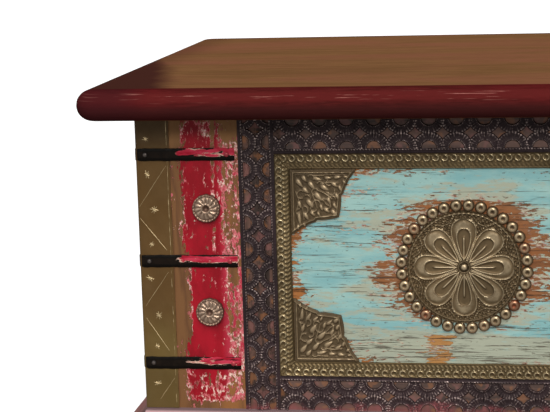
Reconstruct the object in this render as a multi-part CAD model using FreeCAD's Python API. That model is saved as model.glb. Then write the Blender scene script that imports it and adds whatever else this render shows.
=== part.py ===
import FreeCAD, Part
import math
import os

from FreeCAD import Vector

# Painted dowry chest: a framed and panelled wooden trunk on a moulded plinth
# and four turned feet, closed by a bull-nosed lid on three butt hinges.
# Its corners are wrapped in engraved brass sheet, crossed by iron straps, and
# its front and ends carry pierced metal friezes, stamped trim, corner plates
# and round medallions ringed with dome studs.
#
# Millimetres. +X runs along the chest, the front faces -Y, +Z is up.
# The origin is on the floor, under the middle of the chest.

# Layout of one face, from the corner of the chest inwards
stile_width = 98.0
frieze_width = 39.0
front_panel_width = 366.0
side_panel_width = 246.0
panel_height = 223.0
top_frieze_height = 38.0
bottom_frieze_height = 35.0

# Carcass timber
frame_thickness = 22.0
panel_thickness = 16.0
tongue_setback = 4.0
tongue_thickness = 8.0
tongue_length = 8.0
trim_on_frame_share = 0.5
back_board_count = 3
back_board_bevel = 2.0
cleat_size = 18.0
floor_thickness = 16.0
floor_board_count = 4

# Plinth and feet
foot_height = 69.0
foot_pad_radius = 26.0
foot_belly_radius = 40.0
foot_neck_radius = 20.0
foot_collar_radius = 28.0
foot_pad_height = 5.0
foot_belly_height = 30.0
foot_neck_height = 53.0
foot_collar_height = 60.0
plinth_height = 55.0
plinth_projection = 38.0
plinth_lap = 30.0
plinth_cove_height = 28.0
plinth_cove_projection = 30.0
plinth_cove_sag = 3.0
plinth_fascia_projection = 33.0
plinth_bead_height = 14.0

# Lid
lid_overhang = 50.0
lid_thickness = 30.0
lid_corner_radius = 22.0
lid_nose_share = 0.49
lid_batten_count = 3
lid_batten_width = 60.0
lid_batten_thickness = 18.0
lid_batten_bevel = 4.0
lid_batten_gap = 12.0
lid_batten_span_share = 0.72

# Hinges, with their pins in the corner between back and lid
hinge_count = 3
hinge_span_share = 0.70
hinge_length = 80.0
hinge_knuckle_count = 5
hinge_knuckle_radius = 4.0
hinge_knuckle_gap = 0.3
hinge_leaf_thickness = 2.0
hinge_body_leaf_height = 32.0
hinge_lid_leaf_length = 36.0
hinge_pin_radius = 2.0
hinge_pin_clearance = 0.05
hinge_pin_head = 1.0
hinge_wood_clearance = 0.5
hinge_screw_count = 3
hinge_screw_pitch = 28.0
hinge_screw_setback = 20.0
screw_head_radius = 3.6
screw_head_depth = 1.8
screw_shank_radius = 1.6
screw_length = 16.0
screw_clearance = 0.1

# Brass sheet wrapped round each corner post
sheet_width = 33.0
sheet_thickness = 1.0
metal_top_gap = 0.5

# Iron straps: the heights of their centres are shares of the body's height
strap_height = 12.4
strap_thickness = 1.6
strap_joggle = 2.0
strap_back_leg = 62.0
strap_height_shares = [0.1585, 0.5105, 0.8713]
strap_nail_radius = 2.6
strap_nail_rim = 0.6
strap_nail_dome = 0.8
strap_nail_from_edge = 9.0
strap_nail_far_share = 0.92

# Rosette studs on the painted part of each stile
rosette_radius = 14.0
rosette_rim = 1.6
rosette_dome = 5.0
rosette_from_edge = 68.5
rosette_height_shares = [0.3375, 0.6912]
rosette_shank_radius = 1.5
rosette_shank_length = 14.0
rosette_clearance = 0.1

# Pierced friezes, stamped trim, corner plates and medallions
frieze_thickness = 1.4
trim_width = 15.0
trim_thickness = 3.4
trim_round = 2.6
plate_leg = 64.0
plate_thickness = 2.0
plate_gap = 0.3
plate_scoop_start_share = (1.0, 0.03)
plate_scoop_mid_share = (0.88, 0.19)
plate_scoop_end_share = (0.81, 0.375)
plate_step_share = (0.775, 0.40)
plate_tip_share = (0.735, 0.735)
medallion_radius = 54.5
medallion_thickness = 1.6
medallion_rim_radius = 52.0
medallion_rim_height = 2.6
medallion_rim_width = 2.4
medallion_boss_radius = 7.0
medallion_boss_rim = 3.0
medallion_boss_dome = 3.0
petal_count = 8
petal_root_radius = 9.0
petal_tip_radius = 47.0
petal_width = 25.0
petal_width_at_share = 0.66
petal_height = 1.6
ring_stud_count = 32
ring_stud_circle = 60.7
ring_stud_radius = 5.4
ring_stud_rim = 0.9
ring_stud_dome = 2.9

# Allowance by which a cutting tool runs past what it cuts
overrun = 5.0

quarter_turn = 90.0
full_turn = 360.0

# Sizes worked out from the ones above
trim_lap = trim_width * trim_on_frame_share
body_width = 2 * stile_width + 3 * frieze_width + 2 * front_panel_width
body_depth = 2 * stile_width + 2 * frieze_width + side_panel_width
body_height = bottom_frieze_height + panel_height + top_frieze_height
body_base = foot_height + plinth_height
body_top = body_base + body_height
panel_middle = bottom_frieze_height + panel_height / 2
top_rail_foot = body_height - top_frieze_height - trim_lap
bottom_rail_top = bottom_frieze_height + trim_lap
post_width = stile_width + frieze_width + trim_lap
inner_length = body_width - 2 * frame_thickness
inner_depth = body_depth - 2 * frame_thickness
metal_height = body_height - metal_top_gap
hinge_offset = hinge_knuckle_radius + hinge_wood_clearance
hinge_y = body_depth / 2 + hinge_offset
hinge_z = body_top - hinge_offset
front_panel_centre = frieze_width / 2 + front_panel_width / 2
strap_heights = [share * body_height for share in strap_height_shares]
rosette_heights = [share * body_height for share in rosette_height_shares]

# Each face has its own frame: u along the face, v up from the foot of the
# body and w outwards. A shape is drawn as on the front, then carried there.
FACES = {
    "front": (0, Vector(0, -body_depth / 2, body_base)),
    "left": (-quarter_turn, Vector(-body_width / 2, 0, body_base)),
    "right": (quarter_turn, Vector(body_width / 2, 0, body_base)),
    "back": (2 * quarter_turn, Vector(0, body_depth / 2, body_base)),
}

# Panels by name: the face they are in, the middle and width of each
PANELS = {
    "front_left": ("front", -front_panel_centre, front_panel_width),
    "front_right": ("front", front_panel_centre, front_panel_width),
    "left": ("left", 0, side_panel_width),
    "right": ("right", 0, side_panel_width),
}

# Corners of the body in plan, as signs of X and Y
CORNERS = {
    "front_left": (-1, -1),
    "front_right": (1, -1),
    "back_left": (-1, 1),
    "back_right": (1, 1),
}


def on_face(shape, face):
    """Carry a shape from a face's own frame to that face of the body."""
    turn, corner = FACES[face]
    placed = shape.copy()
    placed.rotate(Vector(0, 0, 0), Vector(0, 0, 1), turn)
    placed.translate(corner)
    return placed


def board(u_low, u_high, v_low, v_high, w_low, w_high):
    """A rectangular board in a face's frame."""
    box = Part.makeBox(u_high - u_low, w_high - w_low, v_high - v_low)
    box.translate(Vector(u_low, -w_high, v_low))
    return box


def box_between(low, high):
    """A box from its lowest to its highest corner, in the chest's frame."""
    box = Part.makeBox(high[0] - low[0], high[1] - low[1], high[2] - low[2])
    box.translate(Vector(*low))
    return box


def prism(points, rise):
    """A closed polygon pushed along a vector."""
    ring = Part.makePolygon([Vector(*p) for p in points + points[:1]])
    return Part.Face(ring).extrude(Vector(*rise))


def line(start, end):
    return Part.LineSegment(Vector(*start), Vector(*end))


def arc(start, middle, end):
    return Part.Arc(Vector(*start), Vector(*middle), Vector(*end))


def turned(edges):
    """A closed profile turned about the Z axis."""
    face = Part.Face(Part.Wire([edge.toShape() for edge in edges]))
    return face.revolve(Vector(0, 0, 0), Vector(0, 0, 1), full_turn)


def outward_dome(radius, rim, rise):
    """A spherical cap on a short rim, flat back at the origin, facing out of the face."""
    ball = (radius * radius + rise * rise) / (2 * rise)
    centre = rim + rise - ball
    half_way = math.asin(radius / ball) / 2
    middle = (ball * math.sin(half_way), 0, centre + ball * math.cos(half_way))
    dome = turned([
        line((0, 0, 0), (radius, 0, 0)),
        line((radius, 0, 0), (radius, 0, rim)),
        arc((radius, 0, rim), middle, (0, 0, rim + rise)),
        line((0, 0, rim + rise), (0, 0, 0)),
    ])
    dome.rotate(Vector(0, 0, 0), Vector(1, 0, 0), quarter_turn)
    return dome


def moved(shape, u, v, w=0):
    """A copy of a shape shifted within a face's frame."""
    copy = shape.copy()
    copy.translate(Vector(u, -w, v))
    return copy


def edge_groove(edge_u, v_low, v_high, inward):
    """The groove along an upright edge; inward is the side its timber lies on."""
    deep = edge_u + inward * tongue_length
    past = edge_u - inward * overrun
    low, high = min(deep, past), max(deep, past)
    back = -tongue_setback - tongue_thickness
    return board(low, high, v_low, v_high, back, -tongue_setback)


def rail_groove(edge_v, u_low, u_high, inward):
    """The groove along a level edge; inward is the side its timber lies on."""
    deep = edge_v + inward * tongue_length
    past = edge_v - inward * overrun
    low, high = min(deep, past), max(deep, past)
    back = -tongue_setback - tongue_thickness
    return board(u_low, u_high, low, high, back, -tongue_setback)


def tongue(u_low, u_high, v_low, v_high):
    """A tongue, as thick and as far behind the face as the grooves."""
    back = -tongue_setback - tongue_thickness
    return board(u_low, u_high, v_low, v_high, back, -tongue_setback)


def stile(u_outer, u_inner):
    """An upright frame board, grooved along its inner edge."""
    low, high = min(u_outer, u_inner), max(u_outer, u_inner)
    inward = 1 if u_outer > u_inner else -1
    body = board(low, high, 0, body_height, -frame_thickness, 0)
    return body.cut(edge_groove(u_inner, -overrun, body_height + overrun, inward))


def rail(u_low, u_high, v_low, v_high, groove_at_top):
    """A level frame board, stub tenoned into the stiles and grooved for panels."""
    body = board(u_low, u_high, v_low, v_high, -frame_thickness, 0)
    body = body.fuse(tongue(u_low - tongue_length, u_high + tongue_length, v_low, v_high))
    edge, inward = (v_high, -1) if groove_at_top else (v_low, 1)
    past = tongue_length + overrun
    return body.cut(rail_groove(edge, u_low - past, u_high + past, inward))


def centre_stile():
    """The upright between the two front panels, tenoned into both rails."""
    half = frieze_width / 2 + trim_lap
    body = board(-half, half, bottom_rail_top, top_rail_foot, -frame_thickness, 0)
    low, high = bottom_rail_top - tongue_length, top_rail_foot + tongue_length
    body = body.fuse(tongue(-half, half, low, high))
    for side in (-1, 1):
        body = body.cut(edge_groove(side * half, low - overrun, high + overrun, -side))
    return body


def panel(centre, width):
    """A panel flush with its frame, with a tongue all round in the grooves."""
    half = width / 2 - trim_lap
    low, high = centre - half, centre + half
    body = board(low, high, bottom_rail_top, top_rail_foot, -panel_thickness, 0)
    rim = tongue(low - tongue_length, high + tongue_length,
                 bottom_rail_top - tongue_length, top_rail_foot + tongue_length)
    return body.fuse(rim)


def rosette_holes(places):
    """Holes for the shanks of the rosette studs, at the given u positions."""
    holes = []
    for u in places:
        for v in rosette_heights:
            hole = Part.makeCylinder(rosette_shank_radius + rosette_clearance,
                                     rosette_shank_length + rosette_clearance + overrun,
                                     Vector(u, -overrun, v), Vector(0, 1, 0))
            holes.append(hole)
    return Part.makeCompound(holes)


def front_frame():
    """Stiles, rails and centre stile of the front."""
    edge = body_width / 2
    inner = edge - post_width
    rosette_u = edge - rosette_from_edge
    left = stile(-edge, -inner).cut(rosette_holes([-rosette_u]))
    right = stile(edge, inner).cut(rosette_holes([rosette_u]))
    return {
        "front_stile_left": on_face(left, "front"),
        "front_stile_right": on_face(right, "front"),
        "front_top_rail": on_face(rail(-inner, inner, top_rail_foot, body_height, False), "front"),
        "front_bottom_rail": on_face(rail(-inner, inner, 0, bottom_rail_top, True), "front"),
        "front_centre_stile": on_face(centre_stile(), "front"),
        "front_panel_left": on_face(panel(-front_panel_centre, front_panel_width), "front"),
        "front_panel_right": on_face(panel(front_panel_centre, front_panel_width), "front"),
    }


def side_frame(face):
    """Stiles, rails and panel of one end, between the front and the back."""
    edge = body_depth / 2 - frame_thickness
    inner = body_depth / 2 - post_width
    towards_front = 1 if face == "left" else -1
    rosette_u = body_depth / 2 - rosette_from_edge
    posts = {}
    for end, side in (("front", towards_front), ("back", -towards_front)):
        post = stile(side * edge, side * inner).cut(rosette_holes([side * rosette_u]))
        posts[face + "_stile_" + end] = on_face(post, face)
    posts[face + "_top_rail"] = on_face(rail(-inner, inner, top_rail_foot, body_height, False), face)
    posts[face + "_bottom_rail"] = on_face(rail(-inner, inner, 0, bottom_rail_top, True), face)
    posts[face + "_panel"] = on_face(panel(0, side_panel_width), face)
    return posts


def screw(radius_allowance):
    """A countersunk screw, head face at the origin, driven along -Z."""
    head = screw_head_radius + radius_allowance
    shank = screw_shank_radius + radius_allowance
    length = screw_length + radius_allowance
    profile = [
        line((0, 0, 0), (head, 0, 0)),
        line((head, 0, 0), (shank, 0, -screw_head_depth)),
        line((shank, 0, -screw_head_depth), (shank, 0, -length)),
        line((shank, 0, -length), (0, 0, -length)),
        line((0, 0, -length), (0, 0, 0)),
    ]
    return turned(profile)


def hinge_places():
    """X of the middle of each hinge."""
    span = body_width * hinge_span_share
    return [span * i / (hinge_count - 1) - span / 2 for i in range(hinge_count)]


def screw_places():
    """X of each hinge screw."""
    middle = (hinge_screw_count - 1) / 2
    return [x + (i - middle) * hinge_screw_pitch
            for x in hinge_places() for i in range(hinge_screw_count)]


def body_screws(allowance):
    """Screws through the upright leaves into the back boards."""
    screws = []
    for x in screw_places():
        one = screw(allowance)
        one.rotate(Vector(0, 0, 0), Vector(1, 0, 0), -quarter_turn)
        one.translate(Vector(x, body_depth / 2 + hinge_leaf_thickness, hinge_z - hinge_screw_setback))
        screws.append(one)
    return screws


def lid_screws(allowance):
    """Screws through the level leaves up into the lid."""
    screws = []
    for x in screw_places():
        one = screw(allowance)
        one.rotate(Vector(0, 0, 0), Vector(1, 0, 0), 2 * quarter_turn)
        one.translate(Vector(x, hinge_y + hinge_screw_setback, body_top - hinge_leaf_thickness))
        screws.append(one)
    return screws


def back_boards():
    """Level planks with bevelled edges across the whole back."""
    plank_height = body_height / back_board_count
    half = body_width / 2
    bevel = back_board_bevel
    planks = []
    for i in range(back_board_count):
        low, high = i * plank_height, (i + 1) * plank_height
        outline = [
            (-half, frame_thickness, low), (-half, bevel, low), (-half, 0, low + bevel),
            (-half, 0, high - bevel), (-half, bevel, high), (-half, frame_thickness, high),
        ]
        plank = on_face(prism(outline, (body_width, 0, 0)), "back")
        planks.append(plank.cut(Part.makeCompound(body_screws(screw_clearance))))
    return Part.makeCompound(planks)


def floor_cleats():
    """Square battens round the foot of the walls, which carry the floor."""
    half_x, half_y = inner_length / 2, inner_depth / 2
    low, high = body_base, body_base + cleat_size
    cleats = []
    for side in (-1, 1):
        y_edge, y_in = side * half_y, side * (half_y - cleat_size)
        x_edge, x_in = side * half_x, side * (half_x - cleat_size)
        cleats.append(box_between((-half_x, min(y_edge, y_in), low), (half_x, max(y_edge, y_in), high)))
        end = half_y - cleat_size
        cleats.append(box_between((min(x_edge, x_in), -end, low), (max(x_edge, x_in), end, high)))
    return Part.makeCompound(cleats)


def floor_boards():
    """Planks lying on the cleats from end to end."""
    width = inner_depth / floor_board_count
    low = body_base + cleat_size
    planks = []
    for i in range(floor_board_count):
        y = -inner_depth / 2 + i * width
        planks.append(box_between((-inner_length / 2, y, low),
                                  (inner_length / 2, y + width, low + floor_thickness)))
    return Part.makeCompound(planks)


def plinth_board(face, span):
    """One mitred moulding: a cove from the body's face, a fillet and a bead."""
    run = span / 2 + plinth_projection
    cove_foot = -plinth_cove_height
    step = plinth_cove_projection
    fascia = plinth_fascia_projection
    bead_top = -plinth_height + plinth_bead_height
    middle = (-step / 2 + plinth_cove_sag, cove_foot / 2 - plinth_cove_sag)
    bead_middle = (-plinth_projection, (bead_top - plinth_height) / 2)
    profile = [
        line((-run, plinth_lap, 0), (-run, 0, 0)),
        arc((-run, 0, 0), (-run, *middle), (-run, -step, cove_foot)),
        line((-run, -step, cove_foot), (-run, -fascia, cove_foot)),
        line((-run, -fascia, cove_foot), (-run, -fascia, bead_top)),
        arc((-run, -fascia, bead_top), (-run, *bead_middle), (-run, -fascia, -plinth_height)),
        line((-run, -fascia, -plinth_height), (-run, plinth_lap, -plinth_height)),
        line((-run, plinth_lap, -plinth_height), (-run, plinth_lap, 0)),
    ]
    bar = Part.Face(Part.Wire([edge.toShape() for edge in profile])).extrude(Vector(2 * run, 0, 0))
    near, far = span / 2 - plinth_lap, span / 2 + plinth_projection
    mitre = prism([(-near, plinth_lap, -plinth_height), (near, plinth_lap, -plinth_height),
                   (far, -plinth_projection, -plinth_height), (-far, -plinth_projection, -plinth_height)],
                  (0, 0, plinth_height))
    return on_face(bar.common(mitre), face)


def foot(corner):
    """A turned bun foot under one corner of the plinth."""
    side_x, side_y = CORNERS[corner]
    offset = plinth_projection - foot_belly_radius
    profile = [
        line((0, 0, 0), (foot_pad_radius, 0, 0)),
        arc((foot_pad_radius, 0, 0), (foot_belly_radius, 0, foot_belly_height - foot_pad_height),
            (foot_neck_radius, 0, foot_neck_height)),
        line((foot_neck_radius, 0, foot_neck_height), (foot_collar_radius, 0, foot_collar_height)),
        line((foot_collar_radius, 0, foot_collar_height), (foot_collar_radius, 0, foot_height)),
        line((foot_collar_radius, 0, foot_height), (0, 0, foot_height)),
        line((0, 0, foot_height), (0, 0, 0)),
    ]
    bun = turned(profile)
    bun.translate(Vector(side_x * (body_width / 2 + offset), side_y * (body_depth / 2 + offset), 0))
    return bun


def lid_board():
    """The lid: one slab with a full round nose on every edge."""
    length = body_width + 2 * lid_overhang
    width = body_depth + 2 * lid_overhang
    slab = box_between((-length / 2, -width / 2, body_top), (length / 2, width / 2, body_top + lid_thickness))
    upright = [e for e in slab.Edges if abs(e.Vertexes[0].Z - e.Vertexes[1].Z) > lid_thickness / 2]
    slab = slab.makeFillet(lid_corner_radius, upright)
    around = [e for e in slab.Edges if e.BoundBox.ZLength < lid_thickness / 2]
    slab = slab.makeFillet(lid_thickness * lid_nose_share, around)
    return slab.cut(Part.makeCompound(lid_screws(screw_clearance)))


def lid_battens():
    """Bevelled cross battens under the lid, clear of the walls of the chest."""
    half_y = inner_depth / 2 - lid_batten_gap
    half_x = lid_batten_width / 2
    bevel = lid_batten_bevel
    foot_z = body_top - lid_batten_thickness
    outline = [
        (-half_x, -half_y, body_top), (half_x, -half_y, body_top), (half_x, -half_y, foot_z + bevel),
        (half_x - bevel, -half_y, foot_z), (bevel - half_x, -half_y, foot_z), (-half_x, -half_y, foot_z + bevel),
    ]
    span = inner_length * lid_batten_span_share
    battens = []
    for i in range(lid_batten_count):
        one = prism(outline, (0, 2 * half_y, 0))
        one.translate(Vector(span * i / (lid_batten_count - 1) - span / 2, 0, 0))
        battens.append(one)
    return Part.makeCompound(battens)


def knuckle(x_low, x_high, radius):
    """A length of barrel about the hinge line."""
    return Part.makeCylinder(radius, x_high - x_low, Vector(x_low, hinge_y, hinge_z), Vector(1, 0, 0))


def hinge_leaf(x, plate, own, clear_low, clear_high):
    """A leaf: its plate, its own knuckles, and notches round the other leaf's."""
    pitch = hinge_length / hinge_knuckle_count
    start = x - hinge_length / 2
    leaf = plate
    for i in range(hinge_knuckle_count):
        low, high = start + i * pitch, start + (i + 1) * pitch
        if i % 2 == own:
            leaf = leaf.fuse(knuckle(low + hinge_knuckle_gap / 2, high - hinge_knuckle_gap / 2,
                                     hinge_knuckle_radius))
        else:
            notch = box_between((low - hinge_knuckle_gap / 2, *clear_low),
                                (high + hinge_knuckle_gap / 2, *clear_high))
            leaf = leaf.cut(notch)
    bore = hinge_pin_radius + hinge_pin_clearance
    return leaf.cut(knuckle(start - overrun, start + hinge_length + overrun, bore))


def hinge_body_leaves():
    """Upright leaves on the back of the chest."""
    reach = hinge_knuckle_radius + hinge_wood_clearance
    back = body_depth / 2
    leaves = []
    for x in hinge_places():
        half = hinge_length / 2
        plate = box_between((x - half, back, hinge_z - hinge_body_leaf_height),
                            (x + half, back + hinge_leaf_thickness, hinge_z))
        leaf = hinge_leaf(x, plate, 0, (back - overrun, hinge_z - reach),
                          (back + hinge_offset + overrun, hinge_z + overrun))
        leaves.append(leaf.cut(Part.makeCompound(body_screws(screw_clearance))))
    return Part.makeCompound(leaves)


def hinge_lid_leaves():
    """Level leaves on the underside of the lid's rear overhang."""
    reach = hinge_knuckle_radius + hinge_wood_clearance
    leaves = []
    for x in hinge_places():
        half = hinge_length / 2
        plate = box_between((x - half, hinge_y, body_top - hinge_leaf_thickness),
                            (x + half, hinge_y + hinge_lid_leaf_length, body_top))
        leaf = hinge_leaf(x, plate, 1, (hinge_y - overrun, hinge_z - overrun),
                          (hinge_y + reach, body_top + overrun))
        leaves.append(leaf.cut(Part.makeCompound(lid_screws(screw_clearance))))
    return Part.makeCompound(leaves)


def hinge_pins():
    """One pin through the knuckles of each hinge."""
    half = hinge_length / 2 + hinge_pin_head
    return Part.makeCompound([knuckle(x - half, x + half, hinge_pin_radius) for x in hinge_places()])


def in_corner(points, corner, z, height):
    """Push a plan outline up at a corner; its own frame has the body at +, +."""
    side_x, side_y = CORNERS[corner]
    plan = [(side_x * (body_width / 2 - a), side_y * (body_depth / 2 - b), z) for a, b in points]
    return prism(plan, (0, 0, height))


def corner_sheet(corner):
    """Brass sheet folded round the edge of the body."""
    c, s = sheet_width, sheet_thickness
    outline = [(c, 0), (c, -s), (-s, -s), (-s, c), (0, c), (0, 0)]
    return in_corner(outline, corner, body_base, metal_height)


def strap_set(corner):
    """Three flat straps folded round the corner, joggled over the brass edge."""
    c, s, t, j = sheet_width, sheet_thickness, strap_thickness, strap_joggle
    face_leg = strap_back_leg if corner.startswith("back") else stile_width
    outline = [
        (face_leg, 0), (face_leg, -t), (c + j, -t), (c, -s - t), (-s - t, -s - t), (-s - t, c),
        (-t, c + j), (-t, stile_width), (0, stile_width), (0, c), (-s, c), (-s, -s), (c, -s), (c, 0),
    ]
    low = [body_base + height - strap_height / 2 for height in strap_heights]
    return Part.makeCompound([in_corner(outline, corner, z, strap_height) for z in low])


def strap_nails():
    """Small dome nails near both ends of each strap leg."""
    head = outward_dome(strap_nail_radius, strap_nail_rim, strap_nail_dome)
    over_sheet = sheet_thickness + strap_thickness
    nails = []
    legs = {"front": (body_width, stile_width), "left": (body_depth, stile_width),
            "right": (body_depth, stile_width), "back": (body_width, strap_back_leg)}
    for face, (span, leg) in legs.items():
        near = (span / 2 - strap_nail_from_edge, over_sheet)
        far = (span / 2 - leg * strap_nail_far_share, strap_thickness)
        for v in strap_heights:
            for u, w in (near, far):
                for side in (-1, 1):
                    nails.append(on_face(moved(head, side * u, v, w), face))
    return Part.makeCompound(nails)


def rosette_studs():
    """Large round studs with a shank, two on each painted stile."""
    head = outward_dome(rosette_radius, rosette_rim, rosette_dome)
    shank = Part.makeCylinder(rosette_shank_radius, rosette_shank_length, Vector(0, 0, 0), Vector(0, 1, 0))
    stud = head.fuse(shank)
    studs = []
    for face, span in (("front", body_width), ("left", body_depth), ("right", body_depth)):
        for side in (-1, 1):
            for v in rosette_heights:
                u = side * (span / 2 - rosette_from_edge)
                studs.append(on_face(moved(stud, u, v), face))
    return Part.makeCompound(studs)


def frieze(face, panel_names, span):
    """Flat friezes: upright strips full height, level strips between them."""
    strips = []
    top_low = body_height - top_frieze_height
    edges = []
    for name in panel_names:
        centre, width = PANELS[name][1:]
        low, high = centre - width / 2, centre + width / 2
        edges += [low, high]
        strips.append(board(low, high, 0, bottom_frieze_height, 0, frieze_thickness))
        strips.append(board(low, high, top_low, metal_height, 0, frieze_thickness))
    outer = span / 2 - stile_width
    uprights = [-outer] + edges + [outer]
    for low, high in zip(uprights[0::2], uprights[1::2]):
        strips.append(board(low, high, 0, metal_height, 0, frieze_thickness))
    return Part.makeCompound([on_face(strip, face) for strip in strips])


def trim_strip(half_length, width):
    """One mitred strip with rounded long edges, its outer edge at v = 0."""
    inner = half_length - width
    bar = prism([(-half_length, 0, 0), (half_length, 0, 0), (inner, 0, -width), (-inner, 0, -width)],
                (0, -trim_thickness, 0))
    long_edges = []
    for edge in bar.Edges:
        ends = [v.Point for v in edge.Vertexes]
        level = abs(ends[0].z - ends[1].z) < trim_round
        outer = all(point.y < -trim_thickness / 2 for point in ends)
        if level and outer:
            long_edges.append(edge)
    return bar.makeFillet(trim_round, long_edges)


def panel_trim(name):
    """Four mitred strips over the joint between a panel and its frame."""
    face, centre, width = PANELS[name]
    strips = []
    for i in range(4):
        half = width / 2 if i % 2 == 0 else panel_height / 2
        reach = panel_height / 2 if i % 2 == 0 else width / 2
        strip = moved(trim_strip(half, trim_width), 0, reach)
        strip.rotate(Vector(0, 0, 0), Vector(0, 1, 0), i * quarter_turn)
        strips.append(on_face(moved(strip, centre, panel_middle), face))
    return Part.makeCompound(strips)


def corner_plate():
    """A stepped triangular plate, its square corner at the origin."""
    def at(share, flip=False):
        a, b = (share[1], share[0]) if flip else share
        return (a * plate_leg, 0, -b * plate_leg)

    start, mid, end = plate_scoop_start_share, plate_scoop_mid_share, plate_scoop_end_share
    edges = [
        line((0, 0, 0), (plate_leg, 0, 0)),
        line((plate_leg, 0, 0), at(start)),
        arc(at(start), at(mid), at(end)),
        line(at(end), at(plate_step_share)),
        line(at(plate_step_share), at(plate_tip_share)),
        line(at(plate_tip_share), at(plate_step_share, True)),
        line(at(plate_step_share, True), at(end, True)),
        arc(at(end, True), at(mid, True), at(start, True)),
        line(at(start, True), (0, 0, -plate_leg)),
        line((0, 0, -plate_leg), (0, 0, 0)),
    ]
    return Part.Face(Part.Wire([edge.toShape() for edge in edges])).extrude(Vector(0, -plate_thickness, 0))


def corner_plates(panel_names):
    """A plate in each corner of the named panels, against the trim."""
    plate = corner_plate()
    plates = []
    for name in panel_names:
        face, centre, width = PANELS[name]
        half_u = width / 2 - trim_width - plate_gap
        half_v = panel_height / 2 - trim_width - plate_gap
        for side_u in (-1, 1):
            for side_v in (-1, 1):
                one = plate if side_u < 0 else plate.mirror(Vector(0, 0, 0), Vector(1, 0, 0))
                one = one if side_v > 0 else one.mirror(Vector(0, 0, 0), Vector(0, 0, 1))
                one = moved(one, centre + side_u * half_u, panel_middle + side_v * half_v)
                plates.append(on_face(one, face))
    return Part.makeCompound(plates)


def medallion_petal():
    """One raised petal, pointing along u, standing on the disc."""
    wide_at = petal_root_radius + (petal_tip_radius - petal_root_radius) * petal_width_at_share
    half = petal_width / 2
    base = -medallion_thickness
    root, tip = (petal_root_radius, base, 0), (petal_tip_radius, base, 0)
    up, down = (wide_at, base, half), (wide_at, base, -half)
    corner = math.sqrt(0.5)
    round_u = wide_at + (petal_tip_radius - wide_at) * corner
    edges = [
        line(root, up),
        arc(up, (round_u, base, half * corner), tip),
        arc(tip, (round_u, base, -half * corner), down),
        line(down, root),
    ]
    return Part.Face(Part.Wire([edge.toShape() for edge in edges])).extrude(Vector(0, -petal_height, 0))


def medallion(name):
    """A round embossed disc: raised rim, petals and a centre boss."""
    rim_low, rim_high = medallion_rim_radius - medallion_rim_width, medallion_rim_radius
    disc = Part.makeCylinder(medallion_radius, medallion_thickness, Vector(0, 0, 0), Vector(0, -1, 0))
    rim = Part.makeCylinder(rim_high, medallion_rim_height, Vector(0, 0, 0), Vector(0, -1, 0))
    rim = rim.cut(Part.makeCylinder(rim_low, medallion_rim_height + overrun,
                                    Vector(0, 0, 0), Vector(0, -1, 0)))
    body = disc.fuse(rim)
    for i in range(petal_count):
        petal = medallion_petal()
        petal.rotate(Vector(0, 0, 0), Vector(0, 1, 0), i * full_turn / petal_count)
        body = body.fuse(petal)
    boss = outward_dome(medallion_boss_radius, medallion_boss_rim, medallion_boss_dome)
    body = body.fuse(boss)
    face, centre = PANELS[name][:2]
    return on_face(moved(body, centre, panel_middle), face)


def ring_studs():
    """Dome studs set edge to edge round each medallion."""
    head = outward_dome(ring_stud_radius, ring_stud_rim, ring_stud_dome)
    studs = []
    for face, centre, _ in PANELS.values():
        for i in range(ring_stud_count):
            turn = 2 * math.pi * i / ring_stud_count
            u = centre + ring_stud_circle * math.sin(turn)
            v = panel_middle + ring_stud_circle * math.cos(turn)
            studs.append(on_face(moved(head, u, v), face))
    return Part.makeCompound(studs)


def build():
    """Every node of the chest by name."""
    nodes = {}
    nodes.update(front_frame())
    nodes.update(side_frame("left"))
    nodes.update(side_frame("right"))
    nodes["back_boards"] = back_boards()
    nodes["floor_cleats"] = floor_cleats()
    nodes["floor_boards"] = floor_boards()
    for face in FACES:
        span = body_width if face in ("front", "back") else body_depth
        nodes["plinth_" + face] = plinth_board(face, span)
    for corner in CORNERS:
        nodes["foot_" + corner] = foot(corner)
        nodes["corner_sheet_" + corner] = corner_sheet(corner)
        nodes["straps_" + corner] = strap_set(corner)
    nodes["strap_nails"] = strap_nails()
    nodes["rosette_studs"] = rosette_studs()
    nodes["frieze_front"] = frieze("front", ["front_left", "front_right"], body_width)
    nodes["frieze_left"] = frieze("left", ["left"], body_depth)
    nodes["frieze_right"] = frieze("right", ["right"], body_depth)
    nodes["corner_plates_front"] = corner_plates(["front_left", "front_right"])
    nodes["corner_plates_left"] = corner_plates(["left"])
    nodes["corner_plates_right"] = corner_plates(["right"])
    for name in PANELS:
        nodes["trim_" + name] = panel_trim(name)
        nodes["medallion_" + name] = medallion(name)
    nodes["ring_studs"] = ring_studs()
    nodes["lid_board"] = lid_board()
    nodes["lid_battens"] = lid_battens()
    nodes["hinge_body_leaves"] = hinge_body_leaves()
    nodes["hinge_lid_leaves"] = hinge_lid_leaves()
    nodes["hinge_pins"] = hinge_pins()
    nodes["hinge_screws_body"] = Part.makeCompound(body_screws(0))
    nodes["hinge_screws_lid"] = Part.makeCompound(lid_screws(0))
    return nodes


os.makedirs("parts", exist_ok=True)
for node, shape in build().items():
    shape.exportStep("parts/" + node + ".step")
    print(node, len(shape.Solids), "solids", round(shape.Volume), "mm3", shape.isValid())
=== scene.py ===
# %% [markdown]
# An arabic dowry chest: a low wooden trunk whose front and ends are dressed with pierced iron
# friezes, stamped brass trims, brass corner sheets and a round medallion on a worn turquoise panel.
# The wooden carcass comes as finished CAD nodes, so this script gives those their paint and grain,
# and it makes the thin hand-worked metal anew, because relief is what the eye reads on a chest.

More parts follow.
